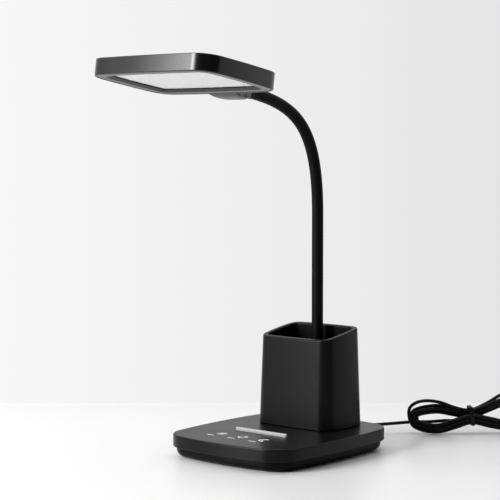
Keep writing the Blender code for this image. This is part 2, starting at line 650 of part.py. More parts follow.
def make_neck():
    """Make the neck's foot, its nut, and its lengths between hinges, each turned about its lower hinge."""
    collar_bottom = CUP_FLOOR_TOP + GAP
    flange_top = collar_bottom + FERRULE_FLANGE_HEIGHT
    collar_top = flange_top + FERRULE_HEIGHT
    socket_bottom = collar_top - FERRULE_SOCKET_DEPTH
    soft = 0.2 * FERRULE_FLANGE_HEIGHT
    stud_bottom = SHELL_CEILING - STUD_BELOW_SHELL
    ferrule = turned("neck_ferrule", (
        (STUD_BORE, stud_bottom),
        (STUD_RADIUS, stud_bottom),
        (STUD_RADIUS, collar_bottom),
        (FERRULE_FLANGE_RADIUS, collar_bottom),
        (FERRULE_FLANGE_RADIUS, flange_top - soft),
        (FERRULE_FLANGE_RADIUS - soft, flange_top),
        (FERRULE_RADIUS, flange_top),
        (FERRULE_RADIUS, collar_top - soft),
        (FERRULE_RADIUS - soft, collar_top),
        (NECK_RADIUS + GAP, collar_top),
        (NECK_RADIUS + GAP, socket_bottom),
        (STUD_BORE, socket_bottom),
    ), looped=True)
    place("neck_ferrule", ferrule, black_plain, (0, NECK_Y, 0))
    nut_top = SHELL_CEILING - GAP
    nut = turned("neck_nut", (
        (STUD_RADIUS + GAP, nut_top - NUT_HEIGHT),
        (NUT_RADIUS, nut_top - NUT_HEIGHT),
        (NUT_RADIUS, nut_top),
        (STUD_RADIUS + GAP, nut_top),
    ), 18, looped=True)
    place("neck_nut", nut, steel, (0, NECK_Y, 0))

    path = neck_path()
    stops = neck_hinge_distances(path)
    first_place = neck_point(path, 0.0)[0]
    cone = NECK_RADIUS * math.tan(NECK_CONE_ANGLE)
    tip = NECK_TIP_SHARE * NECK_RADIUS
    shoulder = cone * (1 - NECK_TIP_SHARE) + GAP / 2
    root_bottom = socket_bottom + GAP
    root = turned("neck_root", (
        (NECK_RADIUS, root_bottom),
        (NECK_RADIUS, first_place.z - shoulder),
        (tip, first_place.z - GAP / 2),
    ), NECK_SIDES)
    place("neck_root", root, black_plain, (0, NECK_Y, 0))
    for number, (start, end) in enumerate(zip(stops, stops[1:]), 1):
        hinge = neck_point(path, start)[0]
        steps = [(tip, start + GAP / 2)]
        body_start = start + shoulder
        body_end = end - GAP / 2 if number == NECK_LENGTHS else end - shoulder
        parts = math.ceil((body_end - body_start) / NECK_RING_STEP)
        steps += [(NECK_RADIUS, body_start + (body_end - body_start) * part / parts)
                  for part in range(parts + 1)]
        if number < NECK_LENGTHS:
            steps.append((tip, end - GAP / 2))
        rings = [neck_ring(path, radius, distance, hinge) for radius, distance in steps]
        place(f"neck_length_{number}", mesh_from_rings("neck_length", rings), black_plain, hinge)
    return neck_point(path, stops[-1])[0]


def neck_ring(path, radius, distance, hinge):
    """Return a ring square to the neck at a distance along it, measured from a hinge's place."""
    middle, direction = neck_point(path, distance)
    across = Vector((1, 0, 0))
    up = across.cross(direction)
    ring = []
    for step in range(NECK_SIDES):
        angle = 2 * math.pi * step / NECK_SIDES
        ring.append(middle - hinge + radius * (math.cos(angle) * across + math.sin(angle) * up))
    return ring


def make_head_frame():
    """Make the empty that carries the head's axes, at its lower face's middle, hung from the neck's end."""
    frame = bpy.data.objects.new("head_axes", None)
    bpy.context.scene.collection.objects.link(frame)
    to_neck = Matrix.Rotation(HEAD_TILT, 3, 'X') @ Vector((0, BRACKET_START + BRACKET_LENGTH, BRACKET_AXIS_Z))
    frame.location = Vector((0, NECK_END_Y, NECK_END_Z)) - to_neck
    frame.rotation_euler = (HEAD_TILT, 0, 0)
    return frame


def make_head(head_axes):
    """Make the head's cover, rim, light panel, light strips and heat spreader."""
    cover_mesh = head_outline.solid("head_back_cover", (
        (HEAD_WALL, HEAD_THICKNESS - HEAD_TOP),
        (HEAD_WALL, 0.0),
        (0.4 * HEAD_EDGE, 0.0),
        (0.0, 0.4 * HEAD_EDGE),
        (0.0, HEAD_THICKNESS - HEAD_EDGE),
        (0.3 * HEAD_EDGE, HEAD_THICKNESS - 0.3 * HEAD_EDGE),
        (HEAD_EDGE, HEAD_THICKNESS),
    ))
    cover = place("head_back_cover", cover_mesh, black_shell, parent=head_axes)
    ceiling = HEAD_THICKNESS - HEAD_TOP
    root = ceiling + HEAD_TOP / 2

    panel_depth = HEAD_DEPTH - 2 * panel_side_inset()
    panel_outline = Outline(2 * PANEL_HALF_WIDTH, panel_depth, PANEL_CORNER, GAP, 4, 1)
    layers = (
        ("diffuser", DIFFUSER_THICKNESS, white_diffuser),
        ("light_guide", GUIDE_THICKNESS, clear_guide),
        ("reflector_sheet", REFLECTOR_THICKNESS, white_diffuser),
        ("heat_spreader", SPREADER_THICKNESS, aluminium),
    )
    bottom = DIFFUSER_BOTTOM
    guide_bottom = 0.0
    for name, thickness, material in layers:
        if name == "light_guide":
            guide_bottom = bottom
        mesh = panel_outline.solid(name, ((0, bottom), (0, bottom + thickness)))
        place(name, mesh, material, parent=head_axes)
        bottom += thickness + GAP
    stack_top = bottom

    for side in (-1, 1):
        rib = block("rib", RIB_WIDTH, RIB_LENGTH, stack_top, root, side * RIB_X, 0, head_axes)
        combine(cover, rib, 'UNION')
    strip_x = PANEL_HALF_WIDTH + GAP + STRIP_THICKNESS / 2
    strip_length = panel_depth - 2 * STRIP_END_INSET
    for side, label in ((-1, "left"), (1, "right")):
        strip = block(f"light_strip_{label}", STRIP_THICKNESS, strip_length, guide_bottom,
                      guide_bottom + GUIDE_THICKNESS, side * strip_x, 0, head_axes)
        strip.data.materials.append(board_green)

    make_head_rim(head_axes)
    tab_bottom = BRACKET_AXIS_Z + GAP
    slot = block("tab_slot", TAB_WIDTH + 2 * GAP, 4 * HEAD_WALL, tab_bottom - GAP,
                 tab_bottom + TAB_THICKNESS + GAP, 0, HEAD_DEPTH / 2, head_axes)
    combine(cover, slot, 'DIFFERENCE')
    boss_bottom = tab_bottom + TAB_THICKNESS + GAP
    bore_top = ceiling + HEAD_TOP / 4
    for side in (-1, 1):
        x = side * BRACKET_SCREW_X
        y = HEAD_DEPTH / 2 - HEAD_WALL - BRACKET_BOSS_RADIUS - GAP
        boss = cylinder("tab_boss", BRACKET_BOSS_RADIUS, boss_bottom, root, x, y, parent=head_axes)
        combine(cover, boss, 'UNION')
        bore_radius = BRACKET_SCREW_RADIUS + SHAFT_GAP
        bore = cylinder("tab_bore", bore_radius, boss_bottom - GAP, bore_top, x, y, parent=head_axes)
        combine(cover, bore, 'DIFFERENCE')
    make_bracket(head_axes, tab_bottom, bore_top)


def panel_side_inset():
    """Return how far the light panel stays in from the head's front and back."""
    return HEAD_WALL + GAP + FRAME_GAP + 3 * GAP + FRAME_WALL + 4 * GAP + RIM_WIDTH / 2


def make_head_rim(head_axes):
    """Make the rim ring: a flat border, a slope in to the diffuser and an upright frame round the panel."""
    outer = HEAD_WALL + GAP
    slope_start = outer + RIM_WIDTH
    slope_end = slope_start + RIM_SLOPE_WIDTH
    ledge = RIM_THICKNESS + RIM_SLOPE_DEPTH + RIM_THICKNESS
    frame_outer = outer + FRAME_GAP + RIM_WIDTH / 2
    frame_inner = frame_outer + FRAME_WALL
    frame_top = ledge + DIFFUSER_THICKNESS + GUIDE_THICKNESS
    steps = (
        (outer, RIM_THICKNESS / 2),
        (slope_start, RIM_THICKNESS / 2),
        (slope_end, RIM_THICKNESS / 2 + RIM_SLOPE_DEPTH),
        (slope_end, ledge),
        (frame_inner, ledge),
        (frame_inner, frame_top),
        (frame_outer, frame_top),
        (frame_outer, ledge),
        (outer, 3 * RIM_THICKNESS),
    )
    rings = [head_outline.ring(*step) for step in steps]
    place("head_rim", mesh_from_rings("head_rim", rings, looped=True), black_shell, parent=head_axes)


def make_bracket(head_axes, tab_bottom, bore_top):
    """Make the tongue from the neck's end into the head, its collar and its two screws."""
    rings = []
    sections = zip(BRACKET_SHARES, BRACKET_HALF_WIDTHS, BRACKET_BOTTOMS, BRACKET_TOPS,
                   BRACKET_SQUARENESS_SHARES)
    for share, half_width, bottom, top, squareness in sections:
        half_height = (top - bottom) / 2
        ring = []
        for step in range(28):
            angle = 2 * math.pi * step / 28
            across = math.copysign(abs(math.cos(angle)) ** (2 / squareness), math.cos(angle))
            rise = math.copysign(abs(math.sin(angle)) ** (2 / squareness), math.sin(angle))
            along = BRACKET_START + BRACKET_LENGTH * share
            ring.append((half_width * across, along, bottom + half_height * (1 + rise)))
        rings.append(ring)
    bracket = place("head_bracket", mesh_from_rings("head_bracket", rings), black_shell, parent=head_axes)
    tab_middle = BRACKET_START - TAB_REACH / 2 + TAB_REACH / 4
    tab_depth = TAB_REACH + TAB_REACH / 2
    tab = block("tab", TAB_WIDTH, tab_depth, tab_bottom, tab_bottom + TAB_THICKNESS, 0, tab_middle, head_axes)
    combine(bracket, tab, 'UNION')
    screw_y = HEAD_DEPTH / 2 - HEAD_WALL - BRACKET_BOSS_RADIUS - GAP
    screw_bottom = tab_bottom - GAP - SCREW_HEAD_HEIGHT
    length = bore_top - GAP - screw_bottom - SCREW_HEAD_HEIGHT
    profile = screw_profile(BRACKET_SCREW_HEAD, BRACKET_SCREW_RADIUS, screw_bottom, length)
    screw = turned("bracket_screw", profile, SCREW_SIDES)
    for side, label in ((-1, "left"), (1, "right")):
        x = side * BRACKET_SCREW_X
        hole = cylinder("tab_hole", BRACKET_SCREW_RADIUS + SHAFT_GAP, tab_bottom - GAP,
                        tab_bottom + TAB_THICKNESS + GAP, x, screw_y, parent=head_axes)
        combine(bracket, hole, 'DIFFERENCE')
        place(f"bracket_screw_{label}", screw.copy(), steel, (x, screw_y, 0), parent=head_axes)


def make_neck_collar(start):
    """Make the collar that closes the neck's sleeve against the bracket."""
    end = Vector((0, NECK_END_Y, NECK_END_Z))
    direction = end - start
    length = direction.length
    soft = 0.1 * COLLAR_RADIUS
    collar = turned("neck_collar", (
        (COLLAR_RADIUS - soft, GAP),
        (COLLAR_RADIUS, GAP + soft),
        (COLLAR_RADIUS, length - GAP),
    ), NECK_SIDES)
    place("neck_collar", collar, black_plain, start, (tilt_towards(direction), 0, 0))


def make_gland():
    """Make the cord's gland, which goes through the back wall and tapers along the cord."""
    inner_face = BASE_DEPTH / 2 - SHELL_WALL - GAP
    mesh = turned("cord_gland", (
        (GLAND_INNER_RADIUS, -GLAND_FLANGE),
        (GLAND_INNER_RADIUS, 0.0),
        (GLAND_NECK_RADIUS, 0.0),
        (GLAND_NECK_RADIUS, SHELL_WALL + 3 * GAP),
        (GLAND_FLANGE_RADIUS, SHELL_WALL + 3 * GAP),
        (GLAND_FLANGE_RADIUS, SHELL_WALL + GLAND_FLANGE + GAP),
        (GLAND_NECK_RADIUS, SHELL_WALL + GLAND_FLANGE + 3 * GAP),
        (GLAND_TIP_RADIUS, SHELL_WALL + GLAND_LENGTH),
    ), 20)
    turn = (math.radians(-90), 0, 0)
    return place("cord_gland", mesh, black_rubber, (0, inner_face, GLAND_Z), turn)


def smoothed(share):
    """Ease a share from 0 to 1."""
    share = min(max(share, 0.0), 1.0)
    return share * share * (3 - 2 * share)


class Hank:
    """The tied hank: two layers of loops that spiral in and out again, drawn in at the waist.

    Its own axes are along the hank, towards the lamp's front, and up, from the middle of the tie.
    At the waist the runs of the upper half lie beside those of the lower half.
    """

    def __init__(self):
        self.pitch = CORD_DIAMETER + HANK_STRAND_GAP
        self.turns = 2 * HANK_TURNS_IN + 0.5
        self.waist_height = (0.75 + HANK_TURNS_IN / 2) * self.pitch
        self.first_height = -1.6 * self.pitch
        self.first_side = -1.5 * self.pitch
        self.points = self.route()

    def outer_loop(self, angle):
        """Return the outermost loop's place along the hank and up."""
        along = HANK_HALF_LENGTH * math.sin(angle)
        turn = -math.cos(angle)
        drawn = math.exp(-(along / HANK_WAIST_REACH) ** 2)
        height = HANK_LOBE_HEIGHT * abs(turn) ** HANK_ROUNDNESS * (1 - drawn) + self.waist_height * drawn
        return Vector((along, math.copysign(height, turn)))

    def shift(self, along):
        """Return how far the runs have moved aside at a place near the waist."""
        return smoothed((HANK_SHIFT_END - abs(along)) / (HANK_SHIFT_END - HANK_SHIFT_START))

    def loop_point(self, turn):
        """Return the cord's place after a number of turns, whole turns at the waist on the lower run."""
        angle = 2 * math.pi * turn
        step = 1e-3
        tangent = self.outer_loop(angle + step) - self.outer_loop(angle - step)
        normal = Vector((-tangent.y, tangent.x)).normalized()
        depth = min(turn, self.turns - turn) * self.pitch
        along, height = self.outer_loop(angle) + normal * depth
        layer = self.pitch * (smoothed((turn - HANK_TURNS_IN) / 0.5) - 0.5)
        half = math.copysign(1.0, -math.cos(angle))
        side = layer - half * self.pitch * self.shift(along)
        if turn < 0.25:
            joined = smoothed(along / HANK_FIRST_RISE)
            height = self.first_height + (height - self.first_height) * joined
            side = self.first_side + self.pitch * smoothed((along - HANK_FIRST_RISE) / HANK_SHIFT_END)
        if turn >= self.turns:
            side = 1.5 * self.pitch
        return Vector((along, side, height))

    def route(self):
        """Return the whole cord through the hank, with straight ends."""
        start = Vector((-HANK_LEAD_REACH, self.first_side, self.first_height))
        points = [start, start + Vector((CORD_DIAMETER, 0, 0))]
        points.append(Vector((-HANK_LEAD_REACH / 2, self.first_side, self.first_height)))
        whole = int(self.turns * HANK_POINTS_PER_LOOP)
        points += [self.loop_point(step / HANK_POINTS_PER_LOOP) for step in range(whole + 1)]
        last = math.asin(HANK_TAIL_REACH / HANK_HALF_LENGTH) / (2 * math.pi)
        points += [self.loop_point(self.turns + last / 2), self.loop_point(self.turns + last)]
        heading = (points[-1] - points[-2]).normalized()
        points.append(points[-1] + heading * CORD_DIAMETER)
        return [self.lifted(point) for point in points]

    def lifted(self, point):
        """Raise the lobe that rests on the cord's tail."""
        rise = HANK_LIFT * smoothed((point.x + HANK_SHIFT_START) / (HANK_HALF_LENGTH + HANK_SHIFT_START))
        return Vector((point.x, point.y, point.z + rise))

    def to_world(self, point):
        """Turn a place on the hank's axes into one on the lamp's axes."""
        along, side, height = point
        cos, sin = math.cos(HANK_TURN), math.sin(HANK_TURN)
        return Vector((HANK_X + along * cos + side * sin, HANK_Y + along * sin - side * cos, HANK_Z + height))

    def least_gap(self):
        """Measure the least gap between strands of the cord that aren't neighbours along it."""
        samples = []
        for index, (first, second) in enumerate(zip(self.points, self.points[1:])):
            for quarter in range(4):
                samples.append((index + quarter / 4, first.lerp(second, quarter / 4)))
        least = math.inf
        for index, (place_a, point_a) in enumerate(samples):
            for place_b, point_b in samples[index + 1:]:
                if place_b - place_a > 6:
                    least = min(least, (point_b - point_a).length)
        return least - CORD_DIAMETER


def tube_along(name, points, resolution, material):
    """Make a round tube along points, with closed ends."""
    curve = bpy.data.curves.new(name, 'CURVE')
    curve.dimensions = '3D'
    curve.bevel_depth = CORD_RADIUS
    curve.bevel_resolution = resolution
    curve.use_fill_caps = True
    spline = curve.splines.new('POLY')
    spline.points.add(len(points) - 1)
    for spot, point in zip(spline.points, points):
        spot.co = (*point, 1.0)
    return place(name, curve, material)


def smooth_route(points, step):
    """Read evenly spaced points from a smooth curve through the route's own points.

    The first and the last run stay straight, so that the tube's ends are square.
    """
    fine = []
    for before, first, second, after in zip(points, points[1:], points[2:], points[3:]):
        for part in range(12):
            share = part / 12
            fine.append(0.5 * (2 * first + (second - before) * share
                               + (2 * before - 5 * first + 4 * second - after) * share ** 2
                               + (3 * first - before - 3 * second + after) * share ** 3))
    fine.append(points[-2])
    lengths = [0.0]
    for first, second in zip(fine, fine[1:]):
        lengths.append(lengths[-1] + (second - first).length)
    count = max(2, round(lengths[-1] / step))
    even = [points[0], fine[0]]
    for number in range(1, count):
        target = lengths[-1] * number / count
        index = next(spot for spot, length in enumerate(lengths) if length >= target)
        share = (target - lengths[index - 1]) / (lengths[index] - lengths[index - 1])
        even.append(fine[index - 1].lerp(fine[index], share))
    return even + [fine[-1], points[-1]]


def make_cord():
    """Make the gland, the lead, the hank with its tie, the tail and the plug."""
    make_gland()
    tip = BASE_DEPTH / 2 - GAP + GLAND_LENGTH
    hank = Hank()
    world = [hank.to_world(point) for point in hank.points]
    tube_along("cord_hank", world, 1, black_rubber)
    print(f"least gap in the hank: {hank.least_gap() * 1000:.2f} mm")

    hank_start = world[0] - (world[1] - world[0]).normalized() * GAP
    lead = [Vector((0, tip + GAP, GLAND_Z)), Vector((0, tip + GAP + CORD_DIAMETER, GLAND_Z))]
    lead += [Vector((x, BASE_DEPTH / 2 + behind, z)) for x, behind, z in LEAD_ROUTE]
    lead += [hank_start - (world[1] - world[0]).normalized() * CORD_DIAMETER, hank_start]
    tube_along("cord_lead", smooth_route(lead, 2.5 * CORD_DIAMETER), 2, black_rubber)

    heading = (world[-1] - world[-2]).normalized()
    tail = [world[-1] + heading * GAP, world[-1] + heading * (GAP + CORD_DIAMETER)]
    tail += [hank.to_world(point) for point in TAIL_ROUTE]
    tube_along("cord_tail", smooth_route(tail, 2.5 * CORD_DIAMETER), 2, black_rubber)
    make_tie(hank)
    make_plug(tail[-1], (tail[-1] - tail[-2]).normalized())


def make_tie(hank):
    """Make the twist tie as a closed band that hugs the strands at the waist."""
    lift = hank.lifted(Vector((0, 0, 0))).z
    reach = CORD_RADIUS + TIE_CLEARANCE + TIE_THICKNESS / 2
    corners = ((1, 1), (-1, 1), (-1, -1), (1, -1))
    rings = []
    for quarter, (right, up) in enumerate(corners):
        corner_side = right * 1.5 * hank.pitch
        corner_height = up * hank.waist_height + lift
        for step in range(5):
            angle = (quarter + step / 4) * math.pi / 2
            outward = Vector((0, math.cos(angle), math.sin(angle)))
            middle = Vector((0, corner_side, corner_height)) + outward * reach
            ring = []
            for corner in range(8):
                turn = 2 * math.pi * corner / 8
                spot = middle + Vector((1, 0, 0)) * TIE_WIDTH / 2 * math.cos(turn)
                spot += outward * TIE_THICKNESS / 2 * math.sin(turn)
                ring.append(hank.to_world(spot))
            rings.append(ring)
    place("cord_tie", mesh_from_rings("cord_tie", rings, looped=True), black_rubber)


def make_plug(start, heading):
    """Make the plug lying on the table at the cord's end: body with its neck, metal shell and tongue."""
    flat = Vector((heading.x, heading.y, 0)).normalized()
    turn = math.atan2(flat.y, flat.x)
    axes = bpy.data.objects.new("plug_axes", None)
    bpy.context.scene.collection.objects.link(axes)
    axes.location = (start.x + flat.x * GAP, start.y + flat.y * GAP, start.z)
    axes.rotation_euler = (0, 0, turn)

    def section(along, half_width, half_height, squareness):
        ring = []
        for step in range(20):
            angle = 2 * math.pi * step / 20
            across = math.copysign(abs(math.cos(angle)) ** (2 / squareness), math.cos(angle))
            rise = math.copysign(abs(math.sin(angle)) ** (2 / squareness), math.sin(angle))
            ring.append((along, half_width * across, half_height * rise))
        return ring

    half_width = PLUG_WIDTH / 2
    half_height = PLUG_HEIGHT / 2
    body_end = PLUG_NECK_LENGTH + PLUG_LENGTH
    body = mesh_from_rings("plug_body", (
        section(0, GLAND_TIP_RADIUS, GLAND_TIP_RADIUS, 2),
        section(PLUG_NECK_LENGTH, PLUG_NECK_RADIUS, PLUG_NECK_RADIUS, 2),
        section(PLUG_NECK_LENGTH + GAP, half_width - PLUG_CORNER, half_height - PLUG_CORNER / 2, 4),
        section(PLUG_NECK_LENGTH + PLUG_CORNER, half_width, half_height, 5),
        section(body_end - PLUG_CORNER / 4, half_width, half_height, 5),
        section(body_end, half_width - PLUG_CORNER / 4, half_height - PLUG_CORNER / 4, 5),
    ))
    place("plug_body", body, black_rubber, parent=axes)

    def box_ring(along, width, height):
        return [(along, width / 2, -height / 2), (along, width / 2, height / 2),
                (along, -width / 2, height / 2), (along, -width / 2, -height / 2)]

    wall = 2 * SHELL_TONGUE_WALL
    shell_start = body_end + GAP
    shell_end = shell_start + SHELL_TONGUE_LENGTH
    shell = mesh_from_rings("plug_shell", (
        box_ring(shell_start, SHELL_TONGUE_WIDTH, SHELL_TONGUE_HEIGHT),
        box_ring(shell_end, SHELL_TONGUE_WIDTH, SHELL_TONGUE_HEIGHT),
        box_ring(shell_end, SHELL_TONGUE_WIDTH - wall, SHELL_TONGUE_HEIGHT - wall),
        box_ring(shell_start + SHELL_TONGUE_WALL, SHELL_TONGUE_WIDTH - wall, SHELL_TONGUE_HEIGHT - wall),
    ))
    place("plug_shell", shell, steel, parent=axes)
    lift = (SHELL_TONGUE_HEIGHT - wall - CONTACT_HEIGHT) / 2 - GAP
    contact = mesh_from_rings("plug_contacts", (
        box_ring(shell_start + SHELL_TONGUE_WALL + GAP, CONTACT_WIDTH, CONTACT_HEIGHT),
        box_ring(shell_end - SHELL_TONGUE_WALL, CONTACT_WIDTH, CONTACT_HEIGHT),
    ))
    place("plug_contacts", contact, black_plain, (0, 0, lift), parent=axes)


make_base_shell()
make_base_tray()
make_base_fittings()
make_pen_cup()
place("phone_stop_bar", bar_mesh("phone_stop_bar", 0.0, BAR_SUNK, BAR_PROUD), silver_plastic,
      (0, BAR_Y, BASE_HEIGHT))
neck_end = make_neck()
make_neck_collar(neck_end)
make_head(make_head_frame())
make_cord()
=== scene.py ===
"""Desk lamp with a pen holder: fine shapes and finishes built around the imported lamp.

Metres, +Z up. The origin is on the table, under the middle of the base. -Y is the lamp's front.
"""

import logging
import math
from bisect import bisect_right
from collections.abc import Callable
from dataclasses import dataclass, field
from enum import Enum
from functools import cached_property

import bmesh
import bpy
from bpy.types import Material, Node, NodeSocket, NodeTree, Object
from mathutils import Matrix, Vector


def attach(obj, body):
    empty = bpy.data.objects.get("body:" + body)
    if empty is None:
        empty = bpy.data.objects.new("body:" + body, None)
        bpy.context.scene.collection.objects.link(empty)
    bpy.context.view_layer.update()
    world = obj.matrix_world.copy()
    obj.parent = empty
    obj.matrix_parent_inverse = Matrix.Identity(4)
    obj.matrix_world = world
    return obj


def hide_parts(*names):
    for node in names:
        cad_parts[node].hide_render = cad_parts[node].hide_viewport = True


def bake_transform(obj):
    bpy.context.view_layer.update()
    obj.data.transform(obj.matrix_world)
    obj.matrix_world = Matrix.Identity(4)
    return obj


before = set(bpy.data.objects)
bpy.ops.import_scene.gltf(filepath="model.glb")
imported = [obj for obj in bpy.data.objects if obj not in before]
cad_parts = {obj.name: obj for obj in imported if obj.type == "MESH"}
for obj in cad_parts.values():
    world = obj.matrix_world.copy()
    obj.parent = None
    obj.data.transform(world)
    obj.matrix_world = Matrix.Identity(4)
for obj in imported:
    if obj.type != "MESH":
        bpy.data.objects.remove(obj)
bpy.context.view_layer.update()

logging.basicConfig(level=logging.INFO, format="%(message)s")
LOG = logging.getLogger("desk_lamp")

# The gap that neighbouring pieces keep
GAP = 0.0003
# Heights and places that two sub-assemblies share
BASE_TOP = 0.0213
CUP_FLOOR = 0.0256
NECK_END = (0.0, -0.0476, 0.3352)
HEAD_TILT = math.radians(-8.62)
FULL_TURN = 2 * math.pi
QUARTER_TURN = math.pi / 2
# Points closer together than this become one
MERGE_REACH = 1e-6
# Added to each angle, so that rounding can't put a point at angle zero last in its loop
ANGLE_NUDGE = 1e-4
# How many faces lie across a softened edge
BEVEL_SEGMENTS = 2
# The degrees from point to point of a printed arc, and its least number of parts
ARC_STEP = 12.0
LEAST_ARC_PARTS = 4

Ring = list[Vector]
Steps = list[tuple[float, ...]]
Values = tuple[float, ...]
Pair = tuple[float, float]
Pairs = tuple[Pair, ...]
Place = tuple[float, float, float]
Route = tuple[Place, ...]
Links = dict[str | int, object]


class Body(Enum):
    """The rigid bodies that whole pieces ride on."""

    BASE = "base"
    HEAD = "head"


class Slot(Enum):
    """The record's material slots."""

    SHELL = "satin_black"
    PLAIN = "matt_black"
    RUBBER = "black_rubber"
    SILVER = "silver_plastic"


# Modelling helpers


def start_loop(name: str, count: int, filled: bool) -> Object:
    """Add a circle as the start of a piece and go into edit mode on it, with everything selected.

    Args:
        name: The piece's name.
        count: How many points the loop has.
        filled: Whether a face closes the loop.

    Returns:
        The new object.
    """
    bpy.ops.object.select_all(action="DESELECT")
    bpy.ops.mesh.primitive_circle_add(vertices=count, fill_type="NGON" if filled else "NOTHING")
    piece = bpy.context.object
    piece.name = name
    piece.data.name = name
    bpy.ops.object.mode_set(mode="EDIT")
    bpy.ops.mesh.select_all(action="SELECT")
    return piece


def around(point: Vector, middle: Vector) -> float:
    """Return a point's angle around a middle, from 0 to a full turn."""
    return (math.atan2(point.y - middle.y, point.x - middle.x) + ANGLE_NUDGE) % FULL_TURN


def fit_loop(piece: Object, ring: Ring) -> None:
    """Move the selected loop's points onto a ring, taken in order around it.

    Args:
        piece: The object in edit mode.
        ring: As many points as the loop has.
    """
    work = bmesh.from_edit_mesh(piece.data)
    chosen = [vert for vert in work.verts if vert.select]
    middle = sum((vert.co for vert in chosen), Vector()) / len(chosen)
    target_middle = sum(ring, Vector()) / len(ring)
    chosen.sort(key=lambda vert: around(vert.co, middle))
    targets = sorted(ring, key=lambda point: around(point, target_middle))
    for vert, target in zip(chosen, targets):
        vert.co = target
    bmesh.update_edit_mesh(piece.data)


def loft(name: str, rings: list[Ring], closed: bool = False) -> Object:
    """Extrude a loop through rings, filled at both ends or bridged into a closed band.

    Args:
        name: The piece's name.
        rings: The rings in order, all around the same line along Z.
        closed: Whether the last ring joins the first.

    Returns:
        The new object, in edit mode.
    """
    count = len(rings[0])
    piece = start_loop(name, count, filled=not closed)
    fit_loop(piece, rings[0])
    for ring in rings[1:]:
        if closed:
            bpy.ops.mesh.extrude_edges_move()
        else:
            bpy.ops.mesh.extrude_region_move()
        fit_loop(piece, ring)
    if closed:
        bpy.ops.mesh.select_all(action="DESELECT")
        work = bmesh.from_edit_mesh(piece.data)
        work.verts.ensure_lookup_table()
        verts = list(work.verts)
        for vert in verts[:count] + verts[-count:]:
            vert.select_set(True)
        work.select_flush(True)
        bmesh.update_edit_mesh(piece.data)
        bpy.ops.mesh.bridge_edge_loops()
    return piece


def put_points(piece: Object, place: Callable[[Vector], Vector]) -> None:
    """Move every point of a piece in edit mode.

    Args:
        piece: The object in edit mode.
        place: The function that gives a point its new place.
    """
    work = bmesh.from_edit_mesh(piece.data)
    for vert in work.verts:
        vert.co = place(vert.co)
    bmesh.update_edit_mesh(piece.data)


def choose(*pieces: Object) -> None:
    """Select only these pieces, with the first as the active one."""
    bpy.ops.object.select_all(action="DESELECT")
    for piece in pieces:
        piece.select_set(True)
    bpy.context.view_layer.objects.active = pieces[0]


def join(name: str, parts: list[Object]) -> Object:
    """Join parts into one piece.

    Args:
        name: The piece's name.
        parts: The objects to join.

    Returns:
        The joined object.
    """
    choose(*parts)
    bpy.ops.object.join()
    parts[0].name = name
    parts[0].data.name = name
    return parts[0]


def use_modifier(piece: Object, kind: str, **settings: object) -> None:
    """Add a modifier and apply it.

    Args:
        piece: The object, in object mode.
        kind: The modifier's type.
        settings: The modifier's properties.
    """
    step = piece.modifiers.new(kind.lower(), kind)
    for key, value in settings.items():
        setattr(step, key, value)
    bpy.context.view_layer.objects.active = piece
    bpy.ops.object.modifier_apply(modifier=step.name)


def settle(piece: Object, matrix: Matrix | None = None, bevel: float = 0.0, angle: float = 30.0) -> Object:
    """Close a piece, soften its edges, smooth it and put its place into its mesh.

    Args:
        piece: The object, in edit mode.
        matrix: Where the piece goes, from its own axes.
        bevel: The width of the softened edges, or 0 for none.
        angle: Edges that turn by more than this many degrees are softened or stay sharp.

    Returns:
        The same object, in object mode, at the origin.
    """
    bpy.ops.mesh.select_all(action="SELECT")
    bpy.ops.mesh.remove_doubles(threshold=MERGE_REACH)
    bpy.ops.mesh.normals_make_consistent(inside=False)
    bpy.ops.object.mode_set(mode="OBJECT")
    if bevel:
        use_modifier(piece, "BEVEL", width=bevel, segments=BEVEL_SEGMENTS, limit_method="ANGLE",
                     angle_limit=math.radians(angle), use_clamp_overlap=True)
    choose(piece)
    bpy.ops.object.shade_smooth_by_angle(angle=math.radians(angle))
    use_modifier(piece, "WEIGHTED_NORMAL", keep_sharp=True)
    if matrix is not None:
        piece.data.transform(matrix)
    return piece


def round_edge(radius: float, parts: int) -> list[Pair]:
    """Return the points over a round edge between two faces.

    Args:
        radius: The edge's radius.
        parts: How many faces lie across it.

    Returns:
        For each point, how far it is inside the face it starts on and inside the face it ends on.
    """
    angles = [QUARTER_TURN * part / parts for part in range(parts + 1)]
    return [(radius * (1 - math.cos(angle)), radius * (1 - math.sin(angle))) for angle in angles]


def circle_ring(radius: float, z: float, count: int) -> Ring:
    """Return a ring of points around Z."""
    angles = [FULL_TURN * step / count for step in range(count)]
    return [Vector((radius * math.cos(angle), radius * math.sin(angle), z)) for angle in angles]


def turned(name: str, profile: list[Pair], count: int, closed: bool = False) -> Object:
    """Turn a profile of radius and height pairs around Z."""
    return loft(name, [circle_ring(radius, z, count) for radius, z in profile], closed)


